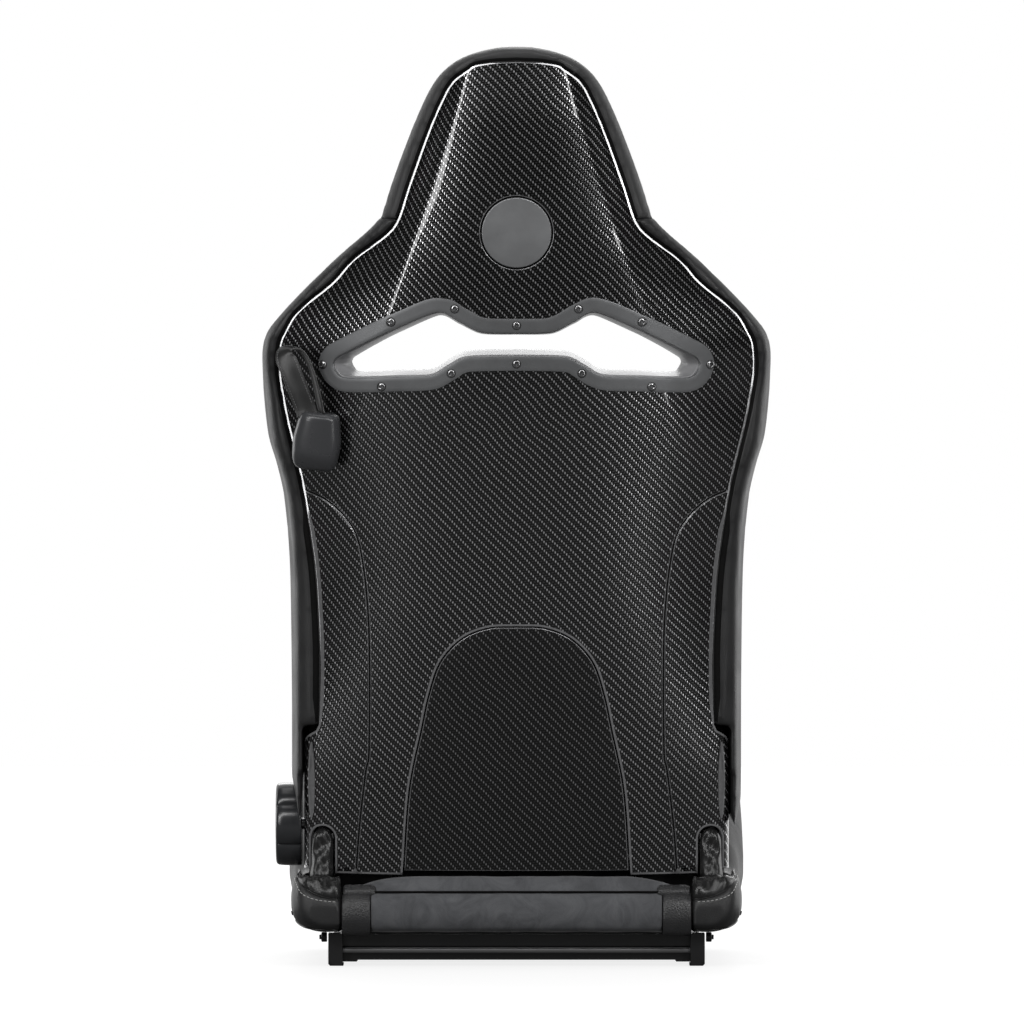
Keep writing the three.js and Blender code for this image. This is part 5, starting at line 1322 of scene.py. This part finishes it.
parts = np.concatenate([[0, 0.008, 0.02], np.linspace(0.04, 0.3, 12), np.linspace(0.32, 0.45, 9),
                        np.linspace(0.5, 0.9, 9), [0.93, 0.955, 0.975, 0.99, 0.997, 1.0]])
GRIP_LEAN, GRIP_TWIST = 0.12, -0.1
x, v, w = np.moveaxis(np.array([grip_ring(part) for part in parts]), -1, 0)
x, v = (x * math.cos(GRIP_TWIST) - v * math.sin(GRIP_TWIST),
        x * math.sin(GRIP_TWIST) + v * math.cos(GRIP_TWIST))
spun = np.stack([x * math.cos(GRIP_LEAN) + w * math.sin(GRIP_LEAN), v,
                 w * math.cos(GRIP_LEAN) - x * math.sin(GRIP_LEAN)], -1)
grip_black = hard_material("grip_moulding_black", (0.045, 0.046, 0.049), 0.27, grain=1100.0, bump=0.2)
grip = swept("pull_grip_moulding", placed(spun + [GRIP_SIDE, grip_depth, GRIP_UP]), grip_black, sharp=60)
dress(grip, "tilt_strap", "black_plastic", "pull_grip")

# ---- Cushion ---------------------------------------------------------------------------------
# Foam cushion in the pan. Leather bolsters run back into rounded corner rolls, sewn to the upper
# panel with a pale topstitch; the middle and the rear band are suede.
AXIS_Y = PIVOT[0]
CUSHION_BOTTOM, CUSHION_LENGTH, PAN_TOP = 36.6, 476, 40.4
REAR, BAND_TOP = -98, 78
insert_top = curve([[-8, 115], [8, 119], [24, 124], [80, 134], [200, 150], [330, 172], [440, 190]])
bolster_top = curve([[-98, 66], [-94, 80], [-85, 92], [-70, 98], [40, 99], [60, 106], [90, 130], [130, 160],
                     [200, 198], [300, 222], [400, 220], [440, 208], [462, 180], [472, 130]])
cushion_half = curve([[-98, 222], [-94, 230], [-85, 236], [-70, 239], [-50, 240], [420, 240], [452, 234],
                      [466, 222], [472, 205]])
bolster_inside = curve([[-98, 186], [-56, 186], [-50, 150], [-40, 130], [472, 130]])


def cushion_ring(y):
    """Section of the right cushion bolster at a distance from the recline axis."""
    inner, outer, top = float(bolster_inside(y)), float(cushion_half(y)), float(bolster_top(y))
    width = outer - inner
    ends = max(0, (y - 440) / 32)
    bottom = CUSHION_BOTTOM + 14 * ends + max(0, -84 - y) * 0.4
    low = min(top - 4, float(insert_top(max(y, 24))) - 8)
    tall = top - bottom
    tuck = min(26, width * 0.5)
    ring = [(inner, bottom + 3), (inner + 5, bottom), (outer - tuck, bottom),
            (outer - 0.35 * tuck, bottom + min(7, 0.14 * tall)),
            (outer - 1.5, bottom + min(18, 0.36 * tall)), (outer, bottom + 0.5 * tall),
            (outer - 1, top - 0.25 * tall), (outer - 0.07 * width, top - 0.1 * tall),
            (outer - 0.2 * width, top), (outer - 0.42 * width, top - 0.02 * tall),
            (outer - 0.68 * width, top - 0.35 * (top - low)), (inner + 0.1 * width, low + 2),
            (inner, low - 4)]
    return [(x, AXIS_Y + y, z) for x, z in ring]


def seat_block(x0, x1, y0, y1, z0, z1):
    """A block of room in the seat's directions, with y from the recline axis."""
    return box_room((x0, AXIS_Y + y0, z0), (x1, AXIS_Y + y1, z1), of_back=False)


def swing_room(radius, inner, ahead):
    """Room for what turns round the recline axis, up to a place ahead of it."""
    return carve(drum_room(radius, inner, 229.5), [seat_block(inner - 1, 231, ahead, 200, -60, 400)])


stations = [*np.arange(-98, -56, 3.0), -56, -53, -50, -45, -40, *np.arange(-32, 440, 9.0),
            444, 450, 456, 461, 465, 468.5, 471, 472]
cushion_side = loft("cushion_bolster_right_leather", [cushion_ring(y) for y in stations], leather,
                    of_back=False)
cheek = [(-8, 70), (110, 70), (110, 136), (60, 130), (24, 126), (2, 124), (-8, 118)]
cheek_rings = np.array([[(x, AXIS_Y + y, z) for y, z in cheek] for x in (131, 187)]) / 1000
carve(cushion_side, [swept("cheek", cheek_rings, leather, sharp=20)], "UNION")
carve(cushion_side, [swing_room(93, 100, -11), swing_room(71, 209, 22),
                     seat_block(100, 197.5, -60, 500, 30, PAN_TOP),
                     seat_block(188.5, 197.5, -60, 500, 30, 59),
                     seat_block(194.5, 203.5, -57, 86, 20, 140),
                     seat_block(217.2, 222.2, -15, 78, 93, 200)])


def cushion_swells(points):
    """1 where a cushion may swell: on its upper side, and not on the pan or beside the recliner."""
    return np.clip((points[:, 2] - 60) / 30, 0, 1) * np.clip((points[:, 1] - AXIS_Y - 92) / 30, 0, 1)


stuff(cushion_side, 5, cushion_swells)
channels(cushion_side, lambda c: np.abs(c[:, 0] - 200), 2.2, 3.0,
         lambda c, n: (n[:, 2] - 0.2) * 4 * (c[:, 1] > AXIS_Y + 100) * (c[:, 1] < AXIS_Y + 455))
cushion_left = mirrored(cushion_side, "cushion_bolster_left_leather")
for pad, name in ((cushion_side, "right"), (cushion_left, "left")):
    dress(pad, "seat_base", "black_leather", f"cushion_bolster_{name}", fill=0.9)

INSERT_END = 438


def insert_ring(y):
    """Section of the cushion's middle at a distance from the recline axis."""
    ends = min(1, (y + 10) / 20, (INSERT_END + 2 - y) / 14)
    top = float(insert_top(y)) - 10 * (1 - max(0, ends)) ** 2
    half = INSERT_HALF
    crown = min(1, max(0, (y + 4) / 60))
    side = [(half - 3, PAN_TOP), (half, PAN_TOP + 8), (half - 2.5, (top + PAN_TOP) / 2), (half, top - 16),
            (half - 5, top - 6), (half - 18, top - 1), (half * 0.5, top + 4 * crown)]
    ring = side + [(0, top + 6 * crown)] + [(-x, z) for x, z in side[::-1]]
    return [(x, AXIS_Y + y, z) for x, z in ring]


stations = [-8, -6, -2, 4, *np.arange(12, 432, 9.0), 434, INSERT_END]
cushion_middle = loft("cushion_insert_suede", [insert_ring(y) for y in stations], suede, of_back=False,
                      steps=3)
carve(cushion_middle, [seat_block(-190, 190, -60, 500, 20, PAN_TOP)])
stuff(cushion_middle, 6, lambda c: np.clip((c[:, 2] - 90) / 30, 0, 1)
      * np.clip((c[:, 1] - AXIS_Y - 10) / 40, 0, 1) * np.clip((127 - np.abs(c[:, 0])) / 20, 0.1, 1))
channels(cushion_middle, lambda c: np.abs((c[:, 1] - AXIS_Y - 60) % 62 - 31), 3.0, 3.5,
         lambda c, n: (n[:, 2] - 0.4) * 4 * (np.abs(c[:, 0]) < 118)
         * (c[:, 1] > AXIS_Y + 60) * (c[:, 1] < AXIS_Y + 420))
dress(cushion_middle, "seat_base", "dark_suede", "cushion_insert", fill=0.8)

outline_from_front = [(-35.5, 41.6), (-12, 44.6), (-3, 56.6), (0, 86.6), (-1, 136.6), (-6, 168), (-16, 184),
                      (-28, 190), (-35.5, 189)]
side_view = np.array(outline_from_front) + [CUSHION_LENGTH, 0]
middle = side_view.mean(0)
rings = []
for s in np.concatenate([[-1, -0.995, -0.985, -0.96], np.linspace(-0.92, 0.92, 24), [0.96, 0.985, 0.995, 1]]):
    grow = 1 - 0.1 * max(0, (abs(s) - 0.9) / 0.1) ** 3
    rings.append([(s * 128.6, AXIS_Y + y, z) for y, z in middle + (side_view - middle) * grow])
front_roll = loft("cushion_front_roll_leather", rings, leather, of_back=False)
stuff(front_roll, 4, lambda c: np.clip((c[:, 1] - AXIS_Y - 446) / 10, 0, 1))
dress(front_roll, "seat_base", "black_leather", "cushion_front_roll", fill=0.9)

# ---- Rear band of the cushion ----------------------------------------------------------------
# The band that closes the cushion at the back: pale suede in the middle with a grey piping below,
# leather strips at its ends, a near-black hem under it that is painted shadow under the cushion, and a
# suede apron that goes up under the shell.


def band_profile(grow=0.0, top=BAND_TOP, bottom=CUSHION_BOTTOM):
    """Side view (y, z) of the band, from its foot round the back to its top."""
    return [(-64, bottom + 3), (REAR + 16, bottom - grow * 0.3), (REAR + 6, bottom + 3 - grow * 0.6),
            (REAR + 1 - grow * 0.4, bottom + 12), (REAR - grow * 0.5, bottom + 22),
            (REAR + 3 - grow * 0.4, top - 8), (REAR + 10, top - 1 + grow * 0.5), (REAR + 20, top),
            (-66, top - 6)]


def rear_piece(name, x0, x1, profile, material, count, pinch=0.06, steps=5, droop=0.0):
    """Part of the rear band between two places across; its ends draw in a little, and may droop."""
    side_view = np.array(profile, float)
    middle = side_view.mean(0)
    rings = []
    for s in [0, 0.004, 0.012, 0.03, *np.linspace(0.06, 0.94, count), 0.97, 0.988, 0.996, 1]:
        x = x0 + (x1 - x0) * s
        grow = 1 - pinch * math.exp(-min(s, 1 - s) * abs(x1 - x0) / 1.6)
        wave = 0.35 * math.sin(s * 31 + x0) * math.sin(s * 11)
        fall = droop * min(1, max(0, (abs(x) - 112) / 58)) ** 2
        rings.append([(x, AXIS_Y + middle[0] + (y - middle[0]) * grow,
                       middle[1] + (z - middle[1]) * grow + wave * (z > 60) - fall * max(0, z - 74) / 20)
                      for y, z in side_view])
    return loft(name, rings, material, of_back=False, steps=steps)


pale_suede = suede_material("band_suede", (0.038, 0.039, 0.043), (0.120, 0.123, 0.130))
band_suede = rear_piece("rear_band_suede", -154.2, 154.2, band_profile(), pale_suede, 48)
dress(band_suede, "seat_base", "dark_suede", "cushion_rear_roll", fill=0.85)
strip_leather = leather_material("strip_leather_grained", (0.014, 0.014, 0.015), (0.035, 0.035, 0.036), 0.38,
                                 pebbles=330.0, depth=0.0009, strength=0.6)
for side, name in SIDES:
    strip = rear_piece(f"rear_band_strip_{name}", side * 155, side * 185.2,
                       band_profile(2.6, BAND_TOP - 1, CUSHION_BOTTOM - 3.4), strip_leather, 14, pinch=0.09)
    dress(strip, "seat_base", "black_leather")
apron = rear_piece("rear_apron_suede", -176, 176, [
    (-70, 70), (REAR + 14, 72), (REAR + 11.5, 78), (REAR + 13, 84), (REAR + 17, 90), (REAR + 20.5, 93.4),
    (REAR + 23, 94), (-70, 93)], pale_suede, 40, pinch=0.2, droop=11)
dress(apron, "seat_base", "dark_suede", fill=0.85)
for side, name in SIDES:
    tuck = rear_piece(f"rear_apron_tuck_{name}", side * 149, side * 184, [
        (-78, 69), (REAR + 10, 74), (REAR + 8.5, 78), (REAR + 10, 82), (REAR + 15, 85.5), (-78, 85)],
                      strip_leather, 22, pinch=0.3)
    dress(tuck, "seat_base", "black_leather")
# A near-black sheet from the band's foot down to the tie bar: painted shadow under the cushion.
shadow_hem_hide = leather_material("hem_painted_shadow", (0.004, 0.004, 0.004), (0.008, 0.008, 0.008), 0.6, pebbles=500.0)
hem_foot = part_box("rear_tie_bar")[1][2] * 1000 + 1.3
hem = rear_piece("rear_band_shadow_hem", -185, 185, [
    (REAR + 20, hem_foot), (REAR + 17, hem_foot - 0.2), (REAR + 16.5, hem_foot + 2),
    (REAR + 16.5, CUSHION_BOTTOM + 4), (REAR + 20, CUSHION_BOTTOM + 4)], shadow_hem_hide, 30, pinch=0, steps=2)
dress(hem, "seat_base", "black_leather")


def tube(name, line, radius, material, sides=10):
    """A round cord sewn along a line, in mm in the seat's directions."""
    line = np.asarray(line, float)
    along = unit(np.gradient(line, axis=0))
    side = unit(np.cross(along, [0.0, 0.3, 1.0]))
    up = np.cross(side, along)
    rings = [[line[k] + (side[k] * math.cos(a) + up[k] * math.sin(a)) * radius for a in circle(sides)]
             for k in range(len(line))]
    return swept(name, np.array(rings) / 1000, material, sharp=70)


piping_grey = leather_material("piping_vinyl", (0.05, 0.05, 0.052), (0.09, 0.09, 0.092), 0.3, pebbles=900.0,
                               depth=0.0003)
xs = np.linspace(-154, 154, 60)
piping_line = columns(xs, AXIS_Y + REAR + 10.5, CUSHION_BOTTOM + 0.9 + 0.25 * np.sin(xs / 9))
dress(tube("rear_band_piping", piping_line, 1.3, piping_grey), "seat_base", "black_leather")
# A black cord where apron meets band: a painted shadow line in the crevice.
shadow_line = columns(xs, AXIS_Y + REAR + 10.2, 79.0)
dress(tube("rear_apron_painted_shadow", shadow_line, 1.1, painted_shadow_black), "seat_base", "black_leather")

# ---- Corner rolls and gaiters ----------------------------------------------------------------
# Where the cushion's leather ends behind the seat: a topstitched seam and piping round each corner
# roll, and a soft wrinkled gaiter that closes the notch over the recliner.
pale_thread = hard_material("thread_pale", (0.42, 0.42, 0.41), 0.55, grain=3000.0)
piping_black = leather_material("piping_black", (0.012, 0.012, 0.012), (0.02, 0.02, 0.02), 0.3, pebbles=900.0,
                                depth=0.0002)


def on_surface(piece, guide, direction):
    """Points and normals where lines from the guide points meet a piece; all in mm."""
    tree = bvhtree.BVHTree.FromObject(piece, bpy.context.evaluated_depsgraph_get())
    towards = Vector(direction)
    found = []
    for spot in guide:
        hit, normal, _, _ = tree.ray_cast(Vector(spot) / 1000 - towards * 0.4, towards)
        if hit is None:
            hit, normal, _, _ = tree.find_nearest(Vector(spot) / 1000)
        found.append((*(hit * 1000), *normal))
    found = np.array(found)
    return found[:, :3], found[:, 3:]


def on_corner(pad, side, line):
    """Points and normals of a corner roll where a line (x, z) of the rear view falls on it."""
    return on_surface(pad, [(side * x, AXIS_Y + REAR, z) for x, z in line], (0, 1, 0))


SEAM = smooth_line([(236.5, 96), (234.4, 89.3), (229.3, 79.2), (222.2, 74.1), (209.9, 70.4),
                    (188.5, 68.2)], 60)
FOLD = smooth_line([(233.5, 98), (229.6, 90.2), (222.4, 82.2), (211.9, 76.1), (200, 72.8), (187.6, 71.2)], 60)
HEM = smooth_line([(238.6, 58), (236.6, 50.5), (231, 44.6), (222.5, 41.2), (210, 39.4), (187.4, 38.4)], 60)
for pad, side, name in ((cushion_side, 1, "right"), (cushion_left, -1, "left")):
    channels(pad, lambda c: distance_to(FOLD, np.column_stack([np.abs(c[:, 0]), c[:, 2]])), 1.8, 2.2,
             lambda c, n: (-n[:, 1] + n[:, 2] * 0.4) * 3 * (c[:, 1] < AXIS_Y - 62) * (c[:, 2] > 60))
    for kind, line, radius in (("fold", FOLD, 1.1), ("hem", HEM, 1.0)):
        spots, normals = on_corner(pad, side, line)
        cord = tube(f"corner_{kind}_{name}", spots + normals * 0.3, radius, piping_black, 8)
        dress(cord, "seat_base", "black_leather")
    row = stitches(f"corner_stitches_{name}", *on_corner(pad, side, SEAM), length=3.3, pitch=4.7, thick=0.5,
                   material=pale_thread)
    dress(row, "seat_base", "black_leather")


def thickened(sheet, thickness, offset):
    """Gives a sheet of hide its thickness, and rounds it."""
    hide = sheet.modifiers.new("hide", "SOLIDIFY")
    hide.thickness, hide.offset = thickness, offset
    rounded(sheet)
    tidy_normals(sheet, 80)


gloss_leather = leather_material("gaiter_leather", (0.008, 0.008, 0.008), (0.016, 0.016, 0.016), 0.28,
                                 depth=0.0005)
for side, name in reversed(SIDES):
    count_x, count_z = 29, 44
    points = []
    for t in np.linspace(0, 1, count_z):
        z = 88 + 59 * t
        arch = math.sqrt(max(0.0, 1 - max(0, (t - 0.72) / 0.28) ** 2))
        half = (13.4 - 1.5 * min(1, t / 0.35)) * max(arch, 0.05)
        for s in np.linspace(-1, 1, count_x):
            x = 206 + 1.5 * (1 - t) ** 2 + s * half
            bulge = (1 - s**4) * (7 * math.exp(-((t - 0.18) / 0.2) ** 2) + 3)
            fold = 2.6 * math.sin(t * 15 + s * 2.3 + 0.8) * (1 - s**2) * math.exp(-((t - 0.45) / 0.4) ** 2)
            pinch = 1.1 * math.sin(s * 8 - t * 21) * (1 - abs(s)) * (t < 0.96)
            tuck = 3.5 * s**6 + 6 * max(0, (t - 0.8) / 0.2) ** 3
            points.append((x * side, -205 - 5 * (1 - t) - bulge * 0.8 - fold * 0.7 - pinch * 0.5 + tuck, z))
    gaiter = object_from(f"gaiter_{name}_leather", np.array(points) / 1000,
                         skin(count_z, count_x, closed_ring=False), gloss_leather)
    thickened(gaiter, 0.0022, -side)
    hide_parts(f"gaiter_{name}")
    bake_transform(gaiter)

    # The loose foot of the gaiter, which lies in folds on the corner roll down to its seam.
    pad = cushion_side if side > 0 else cushion_left
    upper = columns(np.linspace(229, 190, 30) * side, -213.0, 98.0)
    lower, _ = on_corner(pad, side, smooth_line(FOLD, 30))
    points = []
    for s in np.linspace(0, 1, 16):
        spots, normals = on_surface(pad, upper + (lower - upper) * s, (0, 0.7071, -0.7071))
        t = np.linspace(0, 1, 30)
        ripple = 1.6 + 1.5 * np.sin(t * 11 + s * 5) + 0.9 * np.sin(t * 23 - s * 8)
        lift = 0.9 + math.sin(math.pi * s) * ripple
        points += list(spots + normals * np.maximum(lift, 0.6)[:, None])
    foot = object_from(f"gaiter_foot_{name}", np.array(points) / 1000, skin(16, 30, closed_ring=False),
                       gloss_leather)
    thickened(foot, 0.0016, 0)
    dress(foot, "seat_base", "black_leather")

# ---- Seam rows -------------------------------------------------------------------------------
# Rows of the same pale thread on the faces of the bolsters, beside the seam where their inner panel
# is sewn to the outer one.
w_at, y_at = np.linspace(40, 620, 120), np.linspace(112, 448, 80)
for side, name, back_pad, seat_pad in ((1, "right", bolster, cushion_side),
                                       (-1, "left", left_bolster, cushion_left)):
    back_guide = place(side * (bolster_inner(w_at) + 11), 170, w_at) * 1000
    seat_guide = columns(side * 206.5, AXIS_Y + y_at, 300.0)
    for kind, pad, guide, towards, body in (
            ("back", back_pad, back_guide, to_back([0, -1, 0]), "backrest"),
            ("cushion", seat_pad, seat_guide, (0, 0, -1), "seat_base")):
        row = stitches(f"{kind}_seam_stitches_{name}", *on_surface(pad, guide, towards), length=3.3,
                       pitch=4.7, thick=0.42, material=pale_thread)
        dress(row, body, "black_leather")

# ---- Edge shadow strip -----------------------------------------------------------------------
# A flat near-black strip between the shell's edge and the padding, from above one ear, round the
# head and down to the other: painted shadow in the crevice there. It lies on the leather.
chosen = (outline[:, 1] > 113) & ((np.abs(outline[:, 0]) > 150) | (outline[:, 1] > 400))
out = offset_loop(outline, 0)[1][chosen]
edge_line = outline[chosen]
broad = bead_share(edge_line)
forward = to_back([0, 1, 0])
points = []
for share in (0.08, 0.35, 0.7, 1.0):
    x, w = (edge_line + out * share * (3.6 + 3.4 * broad)).T
    guide = place(x, shell_depth(x, w), w) * 1000
    on_head, on_right, on_left = (on_surface(pad, guide, forward)[0] for pad in (head, bolster, left_bolster))
    side_pad = np.where(x[:, None] > 0, on_right, on_left)
    points.append(np.where(w[:, None] > HEAD_SEAM + 1, on_head, side_pad) - forward * 0.35)
edge_shadow = object_from("shell_edge_painted_shadow", np.vstack(points) / 1000, skin(4, len(edge_line), closed_ring=False),
                   painted_shadow_black)
tidy_normals(edge_shadow, 80)
edge_shadow.modifiers.new("shadow_thickness", "SOLIDIFY").thickness = 0.0005
dress(edge_shadow, "backrest", "black_plastic")

# ---- Recline knob ----------------------------------------------------------------------------
# A satin black moulded hand wheel with six lobes, on the shaft at the seat's left side.
knob_black = hard_material("knob_moulding_black", (0.026, 0.027, 0.029), 0.22, grain=900.0, bump=0.2)
turns = circle(216)
lobe = np.abs(np.cos(turns * 3)) ** 0.62
rings = []
for x, shrink in ((-229, 9), (-229, 1.6), (-229.4, 0.7), (-230.4, 0.15), (-231.5, 0), (-240, 0), (-248, 0.2),
                  (-253.2, 0.8), (-254.8, 1.5), (-255.9, 2.8), (-256.5, 4.6), (-256.8, 7), (-256.6, 15),
                  (-255.4, 17), (-255.2, 30), (-255.2, 44)):
    radius = (46.5 - 4.5 * (1 - lobe) * max(0.0, 1 - shrink / 26)) - shrink
    rings.append([(x, AXIS_Y + r * math.cos(a), PIVOT[1] + r * math.sin(a)) for r, a in zip(radius, turns)])
knob = swept("recline_knob_moulding", np.array(rings) / 1000, knob_black, sharp=45)
dress(knob, "knob_shaft", "black_plastic", "recline_knob")

# ---- Frame and rails -------------------------------------------------------------------------
# Pressed and folded steel with a black coating; the sliders, recliner discs and bushes are bright.
black_steel = hard_material("black_coated_steel", (0.008, 0.008, 0.0085), 0.3, grain=700.0, coat=0.3)
bright_steel = hard_material("bright_steel", (0.42, 0.42, 0.43), 0.28, metal=1.0, grain=800.0)
cover_black = hard_material("cover_moulding_black", (0.015, 0.015, 0.016), 0.4, grain=650.0, bump=0.5)


def eased(piece, width, angle):
    """Rounds off the edges where faces meet at more than an angle."""
    edge = piece.modifiers.new("eased_edges", "BEVEL")
    edge.width, edge.segments, edge.angle_limit = width, 2, math.radians(angle)


for name, finish in [(f"{kind}_{side}", finish) for side in ("left", "right") for kind, finish in (
        ("lower_rail", black_steel), ("rail_foot_rear", black_steel), ("rail_foot_front", black_steel),
        ("upper_rail", bright_steel), ("seat_bracket", black_steel), ("latch_plate", bright_steel),
        ("recliner_disc", bright_steel), ("recliner_cover", cover_black), ("recliner_arm", black_steel),
        ("pivot_bush", bright_steel), ("hinge_plate", black_steel))] + [
        ("rear_tie_bar", black_steel), ("front_tie_bar", black_steel), ("seat_pan", black_steel),
        ("release_bar", black_steel), ("sync_shaft", bright_steel)]:
    piece = NODES[name]
    piece.data.materials.clear()
    piece.data.materials.append(finish)
    eased(piece, 0.0005, 40)

# The rolled rear edge of the tie bar, in a satin grey that is a painted reflection of the floor.
low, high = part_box("rear_tie_bar")
tie_edge_reflection = hard_material("tie_edge_painted_reflection", (0.17, 0.17, 0.172), 0.34, grain=700.0, metal=0.5)
xs = np.linspace(low[0] * 1000 + 1, high[0] * 1000 - 1, 40)
tie_edge = tube("tie_bar_rolled_edge", columns(xs, low[1] * 1000 + 2.9, 16.6), 3.3, tie_edge_reflection, 16)
dress(tie_edge, "floor_rails", "black_steel")

# The folded ends of the rear feet, and the guide roller beside each.
folded_end = [(184.5, 1), (184.5, 33), (188, 35.5), (197.5, 35.5), (200, 33), (200, 7), (197, 1.6),
              (193.5, 0.2), (186, 0.2)]
roller = [(0.1, 0), (4.6, 0), (5.2, 0.7), (5.2, 5.4), (4.6, 6), (2.6, 6.2), (2.4, 8.2), (0.1, 8.3)]
for side, name in reversed(SIDES):
    rings = [[(side * x, y, z) for x, z in folded_end] for y in (-220.6, -218.2)]
    plate = swept(f"foot_end_{name}", np.array(rings) / 1000, black_steel, sharp=25)
    eased(plate, 0.0006, 30)
    rings = [[(side * (205.5 + (h - 4)), -200 + r * math.cos(a), 30 + r * math.sin(a)) for a in circle(28)]
             for r, h in roller]
    wheel = swept(f"guide_roller_{name}", np.array(rings) / 1000, cover_black, sharp=35)
    for piece in (plate, wheel):
        dress(piece, "floor_rails", "black_steel")
